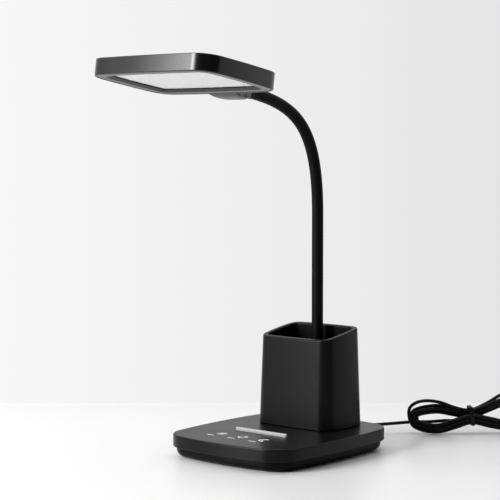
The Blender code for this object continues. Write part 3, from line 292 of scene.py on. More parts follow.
@dataclass(frozen=True)
class Outline:
    """A rectangle with round corners and gently bowed sides, and its parallel copies further in."""

    width: float
    depth: float
    corner: float
    bulge: float
    corner_steps: int = 18
    side_steps: int = 8

    def arcs(self) -> list[tuple[Vector, float, float, float, int]]:
        """Return the side's, the corner's and the end's arcs as centre, radius, start, end and steps."""
        side_radius = ((self.depth / 2 - self.corner) ** 2 + self.bulge ** 2) / (2 * self.bulge)
        end_radius = ((self.width / 2 - self.corner) ** 2 + self.bulge ** 2) / (2 * self.bulge)
        side = Vector((self.width / 2 - side_radius, 0.0))
        end = Vector((0.0, self.depth / 2 - end_radius))
        first, second = side_radius - self.corner, end_radius - self.corner
        distance = (end - side).length
        along = (distance ** 2 + first ** 2 - second ** 2) / (2 * distance)
        across = math.sqrt(first ** 2 - along ** 2)
        direction = (end - side) / distance
        normal = Vector((-direction.y, direction.x))
        middle = side + direction * along
        corner = max((middle + normal * across, middle - normal * across), key=lambda spot: spot.x + spot.y)
        side_angle = math.atan2(corner.y - side.y, corner.x - side.x)
        end_angle = math.atan2(corner.y - end.y, corner.x - end.x)
        return [
            (side, side_radius, 0.0, side_angle, self.side_steps),
            (corner, self.corner, side_angle, end_angle, self.corner_steps),
            (end, end_radius, end_angle, QUARTER_TURN, self.side_steps),
        ]

    def ring(self, inset: float, z: float, slope: float = 0.0) -> Ring:
        """Return the whole outline at a height, which can rise towards the back.

        Args:
            inset: How far inside the outline the ring is.
            z: The ring's height in the middle.
            slope: The rise for each metre towards the back.

        Returns:
            The ring's points.
        """
        quarter = []
        for centre, radius, start, end, steps in self.arcs():
            for step in range(steps):
                angle = start + (end - start) * step / steps
                quarter.append((centre.x + (radius - inset) * math.cos(angle),
                                centre.y + (radius - inset) * math.sin(angle)))
        quarter.append((0.0, self.depth / 2 - inset))
        half = quarter + [(-x, y) for x, y in reversed(quarter[:-1])]
        whole = half + [(-x, -y) for x, y in half[1:-1]]
        return [Vector((x, y, z + slope * y)) for x, y in whole]

    def solid(self, name: str, steps: Steps, closed: bool = False) -> Object:
        """Loft rings given as inset and height, or inset, height and slope."""
        return loft(name, [self.ring(*step) for step in steps], closed)


# Surface finishes


def add_node(tree: NodeTree, kind: str, links: Links | None = None, **settings: object) -> Node:
    """Add a node to a tree, set its properties and feed its inputs.

    Args:
        tree: The node tree.
        kind: The node's type, as it is called after ShaderNode.
        links: For each input, a socket to link or a plain value.
        settings: Properties of the node.

    Returns:
        The new node.
    """
    node = tree.nodes.new(f"ShaderNode{kind}")
    for key, value in settings.items():
        setattr(node, key, value)
    for key, source in (links or {}).items():
        if isinstance(source, NodeSocket):
            tree.links.new(source, node.inputs[key])
        else:
            node.inputs[key].default_value = source
    return node


class GroupMaker:
    """Builds one shader node group with named inputs and outputs."""

    def __init__(self, name: str, inputs: dict[str, str], outputs: dict[str, str]) -> None:
        """Make the group and its sockets.

        Args:
            name: The group's name.
            inputs: The input sockets' names and kinds.
            outputs: The output sockets' names and kinds.
        """
        self.tree = bpy.data.node_groups.new(name, "ShaderNodeTree")
        for side, sockets in (("INPUT", inputs), ("OUTPUT", outputs)):
            for socket, kind in sockets.items():
                self.tree.interface.new_socket(socket, in_out=side, socket_type=f"NodeSocket{kind}")
        self.source = self.tree.nodes.new("NodeGroupInput").outputs
        self.target = self.tree.nodes.new("NodeGroupOutput").inputs

    def calculate(self, operation: str, *values: object, clamp: bool = False) -> NodeSocket:
        """Calculate with sockets or plain values and return the result."""
        return add_node(self.tree, "Math", dict(enumerate(values)), operation=operation,
                        use_clamp=clamp).outputs[0]

    def noise(self, scale: object, detail: float, vector: NodeSocket | None = None,
              **more: float) -> NodeSocket:
        """Add noise over the surface, or over another vector, and return its level."""
        links = {"Vector": vector or self.source["Vector"], "Scale": scale, "Detail": detail, **more}
        return add_node(self.tree, "TexNoise", links).outputs["Fac"]

    def spread(self, *values: object) -> NodeSocket:
        """Map a value, given with its own range's ends and the new range's ends."""
        return add_node(self.tree, "MapRange", dict(enumerate(values))).outputs[0]

    def tint(self, other: Values, share: NodeSocket) -> NodeSocket:
        """Mix another colour into the group's own by a share and return the result."""
        links = {6: self.source["Colour"], 7: other, 0: share}
        return add_node(self.tree, "Mix", links, data_type="RGBA").outputs[2]

    def finish(self, results: dict[str, NodeSocket]) -> NodeTree:
        """Feed the group's outputs and return the group."""
        for socket, result in results.items():
            self.tree.links.new(result, self.target[socket])
        return self.tree


@dataclass(frozen=True)
class SurfaceGroups:
    """The shader groups that all finishes share.

    Scales count waves per metre. A range says between which levels of the noise a mark sets in, and the
    upward range between which upward shares of a face's normal the dust does.
    """

    grain_detail: float = 3.0
    grain_roughness: float = 0.6
    wave_scale_share: float = 0.22
    wave_height_share: float = 0.35
    wave_detail: float = 2.0
    smudge_scale: float = 26.0
    smudge_detail: float = 4.0
    smudge_distortion: float = 0.6
    rub_scales: Values = (900.0, 60.0, 300.0)
    rub_turns: Values = (0.3, 0.2, 0.7)
    rub_detail: float = 2.0
    rub_range: Values = (0.62, 0.80)
    rub_level: float = 0.5
    mean_level: float = 0.55
    grease_colour: Values = (0.55, 0.54, 0.52, 1.0)
    grease_share: float = 0.03
    upward_range: Values = (0.55, 1.0)
    speck_scale: float = 700.0
    speck_detail: float = 1.0
    speck_range: Values = (0.60, 0.78)
    speck_floor: float = 0.15
    dust_colour: Values = (0.45, 0.44, 0.42, 1.0)

    def build(self) -> dict[str, NodeTree]:
        """Build all the groups, by name."""
        return {"grain": self.grain(), "handling": self.handling(), "dust": self.dust()}

    def grain(self) -> NodeTree:
        """Build the fine spark-eroded grain of a moulded surface."""
        maker = GroupMaker("moulded_grain", {"Vector": "Vector", "Fineness": "Float"}, {"Height": "Float"})
        fineness = maker.source["Fineness"]
        cells = maker.noise(fineness, self.grain_detail, Roughness=self.grain_roughness)
        coarse = maker.calculate("MULTIPLY", fineness, self.wave_scale_share)
        waves = maker.noise(coarse, self.wave_detail)
        height = maker.calculate("MULTIPLY_ADD", waves, self.wave_height_share, cells)
        return maker.finish({"Height": height})

    def handling(self) -> NodeTree:
        """Build a handled surface's slight unevenness: smudges and fine rubbing."""
        maker = GroupMaker(
            "handling", {"Vector": "Vector", "Colour": "Color", "Roughness": "Float", "Amount": "Float"},
            {"Colour": "Color", "Roughness": "Float"})
        smudge = maker.noise(self.smudge_scale, self.smudge_detail, Distortion=self.smudge_distortion)
        links = {"Vector": maker.source["Vector"], "Scale": self.rub_scales, "Rotation": self.rub_turns}
        stretched = add_node(maker.tree, "Mapping", links).outputs[0]
        rub = maker.spread(maker.noise(1.0, self.rub_detail, stretched), *self.rub_range, 0.0, self.rub_level)
        level = maker.calculate("SUBTRACT", maker.calculate("ADD", smudge, rub), self.mean_level)
        change = maker.calculate("MULTIPLY", level, maker.source["Amount"])
        rough = maker.calculate("ADD", maker.source["Roughness"], change, clamp=True)
        share = maker.calculate("MULTIPLY", change, self.grease_share, clamp=True)
        return maker.finish({"Colour": maker.tint(self.grease_colour, share), "Roughness": rough})

    def dust(self) -> NodeTree:
        """Build the faint dust that lies on faces that point up."""
        maker = GroupMaker("settled_dust", {"Vector": "Vector", "Colour": "Color", "Amount": "Float"},
                           {"Colour": "Color"})
        normal = add_node(maker.tree, "NewGeometry").outputs["Normal"]
        height = add_node(maker.tree, "SeparateXYZ", {0: normal}).outputs["Z"]
        upward = maker.spread(height, *self.upward_range, 0.0, 1.0)
        specks = maker.noise(self.speck_scale, self.speck_detail)
        dots = maker.spread(specks, *self.speck_range, self.speck_floor, 1.0)
        mask = maker.calculate("MULTIPLY", upward, dots)
        share = maker.calculate("MULTIPLY", mask, maker.source["Amount"], clamp=True)
        return maker.finish({"Colour": maker.tint(self.dust_colour, share)})


@dataclass(frozen=True)
class Finish:
    """One surface finish of the lamp.

    Fineness is the grain's count per metre, depth is its height in metres, and handling and dust are shares.
    """

    colour: Place
    roughness: float
    fineness: float
    depth: float
    handling: float
    dust: float = 0.0
    metallic: float = 0.0
    specular: float = 0.5
    coat: float = 0.0
    transmission: float = 0.0
    # painted_glow is painted light: an emission that makes a finish brighter than the lamps light it
    painted_glow: float = 0.0

    def material(self, name: str, groups: dict[str, NodeTree]) -> Material:
        """Build the finish's material.

        Args:
            name: The material's name.
            groups: The shared shader groups by name.

        Returns:
            The material.
        """
        material = bpy.data.materials.new(name)
        material.use_nodes = True
        tree = material.node_tree
        shader = tree.nodes["Principled BSDF"]
        place = add_node(tree, "TexCoord").outputs["Object"]

        def use_group(group: str, **links: object) -> Node:
            """Place a shared group in the material with its own values."""
            return add_node(tree, "Group", {"Vector": place, **links}, node_tree=groups[group])

        grain = use_group("grain", Fineness=self.fineness)
        bump = add_node(tree, "Bump", {"Height": grain.outputs["Height"], "Distance": self.depth,
                                       "Strength": 1.0})
        handled = use_group("handling", Colour=(*self.colour, 1.0), Roughness=self.roughness,
                            Amount=self.handling)
        dusty = use_group("dust", Colour=handled.outputs["Colour"], Amount=self.dust)
        tree.links.new(dusty.outputs["Colour"], shader.inputs["Base Color"])
        tree.links.new(handled.outputs["Roughness"], shader.inputs["Roughness"])
        tree.links.new(bump.outputs["Normal"], shader.inputs["Normal"])
        plain_values = {
            "Metallic": self.metallic,
            "Specular IOR Level": self.specular,
            "Coat Weight": self.coat,
            "Transmission Weight": self.transmission,
            "Emission Strength": self.painted_glow,
        }
        for socket, value in plain_values.items():
            shader.inputs[socket].default_value = value
        if self.painted_glow:
            shader.inputs["Emission Color"].default_value = (*self.colour, 1.0)
        return material


class Look(Enum):
    """The lamp's finishes: colour, roughness, the grain's fineness and depth, handling, dust and the rest."""

    BASE_PLASTIC = Finish((0.0025, 0.0025, 0.0027), 0.32, 2400.0, 0.000006, 0.08, 0.005, specular=0.16)
    CUP_PLASTIC = Finish((0.0020, 0.0020, 0.0022), 0.34, 2400.0, 0.000010, 0.08, 0.004, specular=0.14)
    HEAD_PLASTIC = Finish((0.0030, 0.0030, 0.0032), 0.24, 3000.0, 0.000004, 0.06, 0.006, specular=0.46)
    RIM_PLASTIC = Finish((0.0020, 0.0020, 0.0022), 0.22, 3000.0, 0.000004, 0.06, specular=0.22)
    TRAY_PLASTIC = Finish((0.0016, 0.0016, 0.0017), 0.42, 1800.0, 0.000016, 0.12, specular=0.09)
    NECK_SLEEVE = Finish((0.0016, 0.0016, 0.0017), 0.52, 3600.0, 0.000008, 0.10, 0.004, specular=0.08)
    CORD_JACKET = Finish((0.0018, 0.0018, 0.0020), 0.40, 1500.0, 0.000010, 0.14, 0.004, specular=0.22)
    SOFT_RUBBER = Finish((0.0040, 0.0040, 0.0043), 0.70, 1500.0, 0.000040, 0.10, specular=0.20)
    SILVER_BAR = Finish((0.36, 0.36, 0.37), 0.38, 3000.0, 0.000006, 0.10)
    # The key print's colour is its own; its glow is painted light that brightens the printed signs beyond
    # what the lamps give them
    KEY_PRINT = Finish((0.88, 0.89, 0.90), 0.55, 3000.0, 0.000004, 0.06, painted_glow=0.15)
    SCREW_STEEL = Finish((0.60, 0.60, 0.61), 0.30, 900.0, 0.000010, 0.20, metallic=1.0)
    CAST_BALLAST = Finish((0.16, 0.15, 0.14), 0.62, 500.0, 0.000150, 0.30, 0.1, metallic=0.8)
    BOARD_MASK = Finish((0.020, 0.130, 0.055), 0.42, 900.0, 0.000020, 0.15, coat=0.3)
    SENSING_COPPER = Finish((0.72, 0.38, 0.22), 0.34, 1500.0, 0.000010, 0.25, metallic=1.0)
    ROLLED_ALUMINIUM = Finish((0.72, 0.72, 0.74), 0.38, 1200.0, 0.000010, 0.22, metallic=1.0)
    # The panel's faint glow is painted light: it lifts the panel's brightness a little, and no lamp shines
    # inside the head
    PANEL_DIFFUSER = Finish((0.74, 0.74, 0.73), 0.55, 4000.0, 0.000006, 0.05, painted_glow=0.03)
    GUIDE_ACRYLIC = Finish((0.92, 0.95, 0.95), 0.08, 500.0, 0.0, 0.02, transmission=0.9)
    REFLECTOR_FILM = Finish((0.90, 0.90, 0.90), 0.35, 2000.0, 0.000004, 0.04)


class Finishes:
    """All the lamp's materials, each built once, and the dressing of pieces and nodes."""

    def __init__(self) -> None:
        """Build the shared groups and every material."""
        groups = SurfaceGroups().build()
        self.materials = {look: look.value.material(look.name.lower(), groups) for look in Look}

    def dress(self, piece: Object, look: Look, slot: Slot, *nodes: str) -> None:
        """Give a piece its finish and hide the nodes that it replaces, if any.

        Args:
            piece: The finished piece.
            look: The piece's finish.
            slot: The record's material slot; not used.
            nodes: The nodes it replaces, if any.
        """
        piece.data.materials.clear()
        piece.data.materials.append(self.materials[look])
        if nodes:
            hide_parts(*nodes)
        LOG.info("made %s", piece.name)

    def fit_out(self, piece: Object, body: Body, look: Look, slot: Slot, *nodes: str) -> None:
        """Dress a piece as dress does, and put it on the body that carries it."""
        self.dress(piece, look, slot, *nodes)
        # After the material, because Blender measures a curve wrongly until its object changes once more
        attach(piece, body.value)

    def dress_nodes(self, look: Look, *names: str) -> None:
        """Give carried-over nodes a finish through their own material slots."""
        for name in names:
            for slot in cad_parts[name].material_slots:
                slot.material = self.materials[look]


# Camera, room and lights


@dataclass(frozen=True)
class PhotoCamera:
    """The camera at the photograph's angle."""

    place: Place = (0.9299, -1.1393, 0.2830)
    azimuth: float = 40.31
    downward: float = 3.63
    focal_pixels: float = 1585.42
    image_pixels: int = 500
    sensor: float = 36.0
    nearest: float = 0.05
    farthest: float = 50.0

    def build(self) -> None:
        """Make the camera and set it as the scene's own."""
        data = bpy.data.cameras.new("camera")
        data.sensor_width = self.sensor
        data.lens = self.focal_pixels / self.image_pixels * self.sensor
        data.clip_start = self.nearest
        data.clip_end = self.farthest
        camera = bpy.data.objects.new("camera", data)
        bpy.context.scene.collection.objects.link(camera)
        camera.location = self.place
        camera.rotation_euler = (math.radians(90.0 - self.downward), 0.0, math.radians(self.azimuth))
        bpy.context.scene.camera = camera

    @property
    def forward(self) -> Vector:
        """Return the level direction in which the camera looks."""
        heading = math.radians(self.azimuth)
        return Vector((-math.sin(heading), math.cos(heading), 0.0))


@dataclass(frozen=True)
class SoftBox:
    """One rectangular studio lamp."""

    name: str
    place: Place
    aim: Place
    width: float
    height: float
    power: float

    def build(self) -> None:
        """Make the lamp and point it."""
        data = bpy.data.lights.new(self.name, "AREA")
        data.shape = "RECTANGLE"
        data.size = self.width
        data.size_y = self.height
        data.energy = self.power
        lamp = bpy.data.objects.new(self.name, data)
        bpy.context.scene.collection.objects.link(lamp)
        lamp.location = self.place
        heading = Vector(self.aim) - Vector(self.place)
        lamp.rotation_euler = heading.to_track_quat("-Z", "Y").to_euler()


@dataclass(frozen=True)
class Studio:
    """The table, the wall, the world and the lamps.

    The wall's levels are what the camera sees behind the lamp: painted shade that darkens the backdrop from
    left to right. The back and front levels light the lamp, and one goes over into the other between the two
    reaches.
    """

    table_colour: Place = (0.72, 0.72, 0.72)
    table_roughness: float = 0.34
    # The wall's two levels are painted shade: the backdrop seen by the camera darkens from left to right
    wall_left: float = 0.94
    wall_right: float = 0.78
    wall_spread: float = 0.16
    back_level: float = 0.80
    front_level: float = 0.04
    front_reach: float = -0.30
    back_reach: float = 0.20
    wall_distance: float = 1.76
    room_size: float = 8.0
    camera: PhotoCamera = PhotoCamera()
    boxes: tuple[SoftBox, ...] = (
        SoftBox("left_box", (-0.72, -1.41, 0.72), (0.0, 0.0, 0.30), 0.58, 1.2, 21.0),
        SoftBox("strip_box", (-0.52, -1.48, 0.88), (0.0, 0.0, 0.30), 0.48, 0.8, 19.0),
        SoftBox("side_box", (-2.00, -0.40, 1.60), (0.0, 0.0, 0.10), 1.0, 1.0, 10.0),
        SoftBox("top_box", (0.0, 0.2, 2.2), (0.0, 0.1, 0.0), 2.2, 2.2, 19.0),
    )

    def build(self) -> None:
        """Make everything that isn't the lamp itself."""
        bpy.context.scene.view_settings.view_transform = "Standard"
        self.make_table()
        for box in self.boxes:
            box.build()
        self.light_world()

    def make_table(self) -> Object:
        """Make the table, which ends where the photograph shows the wall's foot."""
        bpy.ops.object.select_all(action="DESELECT")
        bpy.ops.mesh.primitive_plane_add(size=self.room_size)
        table = bpy.context.object
        table.name = "table"
        forward = self.camera.forward
        under_camera = Vector((*self.camera.place[:2], 0.0))
        middle = under_camera + forward * (self.wall_distance - self.room_size / 2)
        turn = Matrix.Rotation(math.atan2(-forward.x, forward.y), 4, "Z")
        table.data.transform(Matrix.Translation(middle) @ turn)
        material = bpy.data.materials.new("table_top")
        material.use_nodes = True
        shader = material.node_tree.nodes["Principled BSDF"]
        shader.inputs["Base Color"].default_value = (*self.table_colour, 1.0)
        shader.inputs["Roughness"].default_value = self.table_roughness
        table.data.materials.append(material)
        return table

    def light_world(self) -> None:
        """Light the room from the wall's side, dark behind the camera, and keep the background pale, with
        painted shade darkening it from left to right.
        """
        world = bpy.data.worlds.new("room")
        bpy.context.scene.world = world
        world.use_nodes = True
        tree = world.node_tree
        direction = add_node(tree, "TexCoord").outputs["Generated"]
        white = (1.0, 1.0, 1.0, 1.0)

        def level(heading: Vector, *ends: float, **settings: str) -> NodeSocket:
            """Return a level that changes along a heading, from its range's ends and its two values."""
            along = add_node(tree, "VectorMath", {0: direction, 1: heading}, operation="DOT_PRODUCT")
            values = dict(enumerate((along.outputs["Value"], *ends)))
            return add_node(tree, "MapRange", values, **settings).outputs[0]

        forward = self.camera.forward
        room = tree.nodes["Background"]
        room.inputs["Color"].default_value = white
        lit = level(forward, self.front_reach, self.back_reach, self.front_level, self.back_level,
                    interpolation_type="SMOOTHSTEP")
        tree.links.new(lit, room.inputs["Strength"])
        # The backdrop's painted shade: brighter at the left, darker at the right
        wall_level = level(Vector((forward.y, -forward.x, 0.0)), -self.wall_spread, self.wall_spread,
                           self.wall_left, self.wall_right)
        wall = add_node(tree, "Background", {"Color": white, "Strength": wall_level})
        path = add_node(tree, "LightPath")
        mix = add_node(tree, "MixShader", {0: path.outputs["Is Camera Ray"], 1: room.outputs[0],
                                           2: wall.outputs[0]})
        tree.links.new(mix.outputs[0], tree.nodes["World Output"].inputs["Surface"])


# Cord


def eased(share: float) -> float:
    """Ease a share from 0 to 1."""
    share = min(max(share, 0.0), 1.0)
    return share * share * (3 - 2 * share)


def through(points: list[Vector], parts: int) -> list[Vector]:
    """Return points on a smooth curve through others.

    Args:
        points: The places that the curve passes through.
        parts: How many steps lie between two of them.

    Returns:
        The curve's points, with both ends kept.
    """
    padded = [points[0] * 2 - points[1], *points, points[-1] * 2 - points[-2]]
    fine = []
    for before, first, second, after in zip(padded, padded[1:], padded[2:], padded[3:]):
        for part in range(parts):
            share = part / parts
            fine.append(0.5 * (2 * first + (second - before) * share
                               + (2 * before - 5 * first + 4 * second - after) * share ** 2
                               + (3 * first - before - 3 * second + after) * share ** 3))
    return [*fine, points[-1]]


@dataclass(frozen=True)
class Hank:
    """The tied hank: two layers of loops that spiral in and out again, drawn in at the waist.

    Its own axes are along the hank, to the side and up. The waist's strands, the outer column and the
    entry's drop count strands, and the turns count loops of the cord.
    """

    diameter: float = 0.0034
    middle: Place = (0.0830, 0.2000, 0.0175)
    turn: float = math.radians(42)
    half_length: float = 0.0620
    lobe_height: float = 0.0196
    waist_reach: float = 0.0250
    waist_strands: float = 0.75
    shift_start: float = 0.0150
    shift_end: float = 0.0450
    strand_gap: float = 0.00002
    left_lobe_share: float = 0.76
    loose_reach: float = 0.0058
    loose_turns: Pairs = ((0.23, 0.49), (4.51, 4.79))
    turns_in: float = 2.25
    changeover_turns: float = 0.5
    roundness: float = 0.62
    points_per_loop: int = 24
    lift: float = 0.0050
    lead_reach: float = 0.0260
    tail_reach: float = 0.0340
    outer_column: float = 1.5
    entry_drop: float = 1.6
    entry_turns: float = 0.25
    entry_reach: float = 0.0220
    angle_step: float = 0.001

    @property
    def pitch(self) -> float:
        """Return the step from one strand's middle to the next."""
        return self.diameter + self.strand_gap

    @property
    def turns(self) -> float:
        """Return the number of turns in the whole hank."""
        return 2 * self.turns_in + self.changeover_turns

    @property
    def waist_height(self) -> float:
        """Return the outer strand's height above the middle at the waist."""
        return (self.waist_strands + self.turns_in / 2) * self.pitch

    def outer_loop(self, angle: float) -> Vector:
        """Work out the outermost loop.

        Args:
            angle: How far round the loop, in radians.

        Returns:
            The place along the hank and up.
        """
        along = self.half_length * math.sin(angle)
        turn = -math.cos(angle)
        drawn = math.exp(-(along / self.waist_reach) ** 2)
        lobe = self.lobe_height * (self.left_lobe_share if along < 0 < turn else 1.0)
        height = lobe * abs(turn) ** self.roundness * (1 - drawn) + self.waist_height * drawn
        return Vector((along, math.copysign(height, turn)))

    def loose(self, turn: float) -> float:
        """Work out how loosely the cord lies at the top of each lobe.

        Args:
            turn: The number of turns so far.

        Returns:
            How far the cord stands off the other strands.
        """
        for start, end in self.loose_turns:
            share = (turn - start) / (end - start)
            if 0 < share < 1:
                return self.loose_reach * math.sin(math.pi * share) ** 2
        return 0.0

    def loop_point(self, turn: float) -> Vector:
        """Work out where the cord lies.

        Args:
            turn: The number of turns so far.

        Returns:
            The cord's place on the hank's own axes.
        """
        angle = FULL_TURN * turn
        tangent = self.outer_loop(angle + self.angle_step) - self.outer_loop(angle - self.angle_step)
        normal = Vector((-tangent.y, tangent.x)).normalized()
        inward = min(turn, self.turns - turn) * self.pitch - self.loose(turn)
        along, height = self.outer_loop(angle) + normal * inward
        layer = self.pitch * (eased((turn - self.turns_in) / self.changeover_turns) - 0.5)
        half = math.copysign(1.0, -math.cos(angle))
        shift = eased((self.shift_end - abs(along)) / (self.shift_end - self.shift_start))
        side = layer - half * self.pitch * shift
        if turn < self.entry_turns:
            _, entry_side, entry_height = self.entry(0.0)
            height = entry_height + (height - entry_height) * eased(along / self.entry_reach)
            side = entry_side + self.pitch * eased((along - self.entry_reach) / self.shift_end)
        if turn >= self.turns:
            side = self.outer_column * self.pitch
        return Vector((along, side, height))

    def entry(self, along: float) -> Place:
        """Return the cord's place where it comes into the waist, at a place along the hank."""
        return along, -self.outer_column * self.pitch, -self.entry_drop * self.pitch

    def route(self) -> list[Vector]:
        """Return the cord's places through the hank, on the lamp's axes."""
        start = Vector(self.entry(-self.lead_reach))
        points = [start, start + Vector((self.diameter, 0, 0)), Vector(self.entry(-self.lead_reach / 2))]
        whole = int(self.turns * self.points_per_loop)
        points += [self.loop_point(step / self.points_per_loop) for step in range(whole + 1)]
        last = math.asin(self.tail_reach / self.half_length) / FULL_TURN
        points += [self.loop_point(self.turns + last / 2), self.loop_point(self.turns + last)]
        points.append(points[-1] + (points[-1] - points[-2]).normalized() * self.diameter)
        return [self.to_world(self.lifted(point)) for point in points]

    def lifted(self, point: Vector) -> Vector:
        """Raise the lobe that rests on the cord's tail."""
        rise = self.lift * eased((point.x + self.shift_start) / (self.half_length + self.shift_start))
        return Vector((point.x, point.y, point.z + rise))

    def to_world(self, point: Vector) -> Vector:
        """Carry a place over to the lamp's axes.

        Args:
            point: The place on the hank's axes.

        Returns:
            The place on the lamp's axes.
        """
        cos, sin = math.cos(self.turn), math.sin(self.turn)
        along, side, height = point
        return Vector((self.middle[0] + along * cos + side * sin, self.middle[1] + along * sin - side * cos,
                       self.middle[2] + height))


@dataclass(frozen=True)
class Tie:
    """The tie: a soft band round the strands at the hank's waist."""

    width: float = 0.0042
    thickness: float = 0.0015
    lean: float = 0.0012
    clearance: float = 0.0001
    corner_parts: int = 6
    section_parts: int = 16

    def make(self, hank: Hank) -> Object:
        """Make the band across X and Y, then stand it across the hank.

        Args:
            hank: The hank that the band holds together.

        Returns:
            The finished band.
        """
        lift = hank.lifted(Vector((0.0, 0.0, 0.0))).z
        reach = hank.diameter / 2 + self.clearance + self.thickness / 2
        path = []
        for quarter, (right, up) in enumerate(((1, 1), (-1, 1), (-1, -1), (1, -1))):
            for step in range(self.corner_parts + 1):
                angle = (quarter + step / self.corner_parts) * QUARTER_TURN
                path.append(Vector((right * hank.outer_column * hank.pitch + reach * math.cos(angle),
                                    up * hank.waist_height + lift + reach * math.sin(angle), 0.0)))
        middle = sum(path, Vector()) / len(path)
        highest = max(point.y - middle.y for point in path)
        rings = []
        for part in range(self.section_parts):
            turn = FULL_TURN * part / self.section_parts
            ring = []
            for point in path:
                spot = point + (point - middle).normalized() * self.thickness / 2 * math.sin(turn)
                lean = -self.lean * (point.y - middle.y) / highest
                ring.append(Vector((spot.x, spot.y, self.width / 2 * math.cos(turn) + lean)))
            rings.append(ring)
        cos, sin = math.cos(hank.turn), math.sin(hank.turn)
        x, y, z = hank.middle
        stand = Matrix(((sin, 0, cos, x), (-cos, 0, sin, y), (0, 1, 0, z), (0, 0, 0, 1)))
        return settle(loft("cord_tie_band", rings, closed=True), stand, angle=60.0)


@dataclass(frozen=True)
class Gland:
    """The cord's tapered gland: a shank in the wall, a flange and a ribbed boot."""

    y: float = 0.0875
    z: float = 0.0156
    length: float = 0.0162
    shank: Pairs = (
        (0.0028, -0.0010), (0.0028, 0.0024), (0.0044, 0.0026), (0.0044, 0.0040), (0.0030, 0.0043))
    ribs: int = 4
    ribs_start: float = 0.0048
    end_length: float = 0.0014
    rib_radius: float = 0.0030
    taper: float = 0.0007
    rib_share: float = 0.62
    groove: float = 0.0006
    softening: float = 0.0002
    end_radii: Pair = (0.0023, 0.0021)
    sides: int = 32
    bevel: float = 0.00015

    def make(self) -> Object:
        """Turn the gland's profile and lay it along the cord."""
        profile = list(self.shank)
        start, end = self.ribs_start, self.length - self.end_length
        step = (end - start) / self.ribs
        for rib in range(self.ribs):
            share = rib / self.ribs
            radius = self.rib_radius - self.taper * share
            low = start + (end - start) * share
            high = low + step * self.rib_share
            profile += [(radius, low), (radius, high), (radius - self.groove, high + self.softening),
                        (radius - self.groove, low + step - self.softening)]
        profile += zip(self.end_radii, (end, self.length))
        turn = Matrix.Rotation(-QUARTER_TURN, 4, "X")
        return settle(turned("cord_gland_boot", profile, self.sides),
                      Matrix.Translation((0.0, self.y, self.z)) @ turn, bevel=self.bevel)


@dataclass
class PowerCord:
    """The gland, the whole cord with its tied hank, the tie and the plug.

    The lead's places are across, behind the base's back edge and up. The tail's are on the hank's axes.
    """

    hank: Hank = field(default_factory=Hank)
    tie: Tie = field(default_factory=Tie)
    gland: Gland = field(default_factory=Gland)
    exit_y: float = 0.1040
    length: float = 1.54
    back_edge: float = 0.0900
    steps_between: int = 4
    roundness_steps: int = 3
    lead_route: Route = (
        (0.0000, 0.0220, 0.0146),
        (0.0014, 0.0260, 0.0136),
        (0.0045, 0.0308, 0.0121),
        (0.0085, 0.0362, 0.0107),
        (0.0125, 0.0416, 0.0098),
        (0.0165, 0.0474, 0.0098),
        (0.0205, 0.0534, 0.0100),
        (0.0245, 0.0596, 0.0101),
        (0.0280, 0.0662, 0.0102),
        (0.0321, 0.0725, 0.0104),
        (0.0369, 0.0782, 0.0105),
        (0.0424, 0.0834, 0.0106),
        (0.0484, 0.0882, 0.0107),
    )
    tail_route: Route = (
        (0.0450, 0.0068, -0.0142),
        (0.0520, 0.0084, -0.0151),
        (0.0600, 0.0110, -0.0154),
        (0.0690, 0.0145, -0.0155),
        (0.0770, 0.0182, -0.0150),
        (0.0850, 0.0218, -0.0142),
        (0.0930, 0.0250, -0.0135),
        (0.1010, 0.0278, -0.0133),
    )

    def build(self, finishes: Finishes) -> None:
        cord = self.make_cord()
        finishes.fit_out(cord, Body.BASE, Look.CORD_JACKET, Slot.RUBBER,
                         "cord_lead", "cord_hank", "cord_tail")
        tie = self.tie.make(self.hank)
        finishes.fit_out(tie, Body.BASE, Look.CORD_JACKET, Slot.RUBBER, "cord_tie")
        finishes.fit_out(self.gland.make(), Body.BASE, Look.SOFT_RUBBER, Slot.RUBBER, "cord_gland")
        finishes.dress_nodes(Look.CORD_JACKET, "plug_body")
        finishes.dress_nodes(Look.SCREW_STEEL, "plug_shell")
        finishes.dress_nodes(Look.SOFT_RUBBER, "plug_contacts")

    def make_cord(self) -> Object:
        """Make the whole cord as one smooth tube."""
        start = Vector((0.0, self.exit_y, self.gland.z))
        coarse = [start, start + Vector((0.0, self.hank.diameter, 0.0))]
        coarse += [Vector((x, self.back_edge + behind, z)) for x, behind, z in self.lead_route]
        coarse += self.hank.route()
        coarse += [self.hank.to_world(Vector(point)) for point in self.tail_route]
        fine = through(coarse, self.steps_between)
        curve = bpy.data.curves.new("power_cord", "CURVE")
        curve.dimensions = "3D"
        curve.bevel_depth = self.hank.diameter / 2
        curve.bevel_resolution = self.roundness_steps
        curve.use_fill_caps = True
        spline = curve.splines.new("POLY")
        spline.points.add(len(fine) - 1)
        for spot, point in zip(spline.points, fine):
            spot.co = (*point, 1.0)
        cord = bpy.data.objects.new("power_cord", curve)
        bpy.context.scene.collection.objects.link(cord)
        return cord


# Base


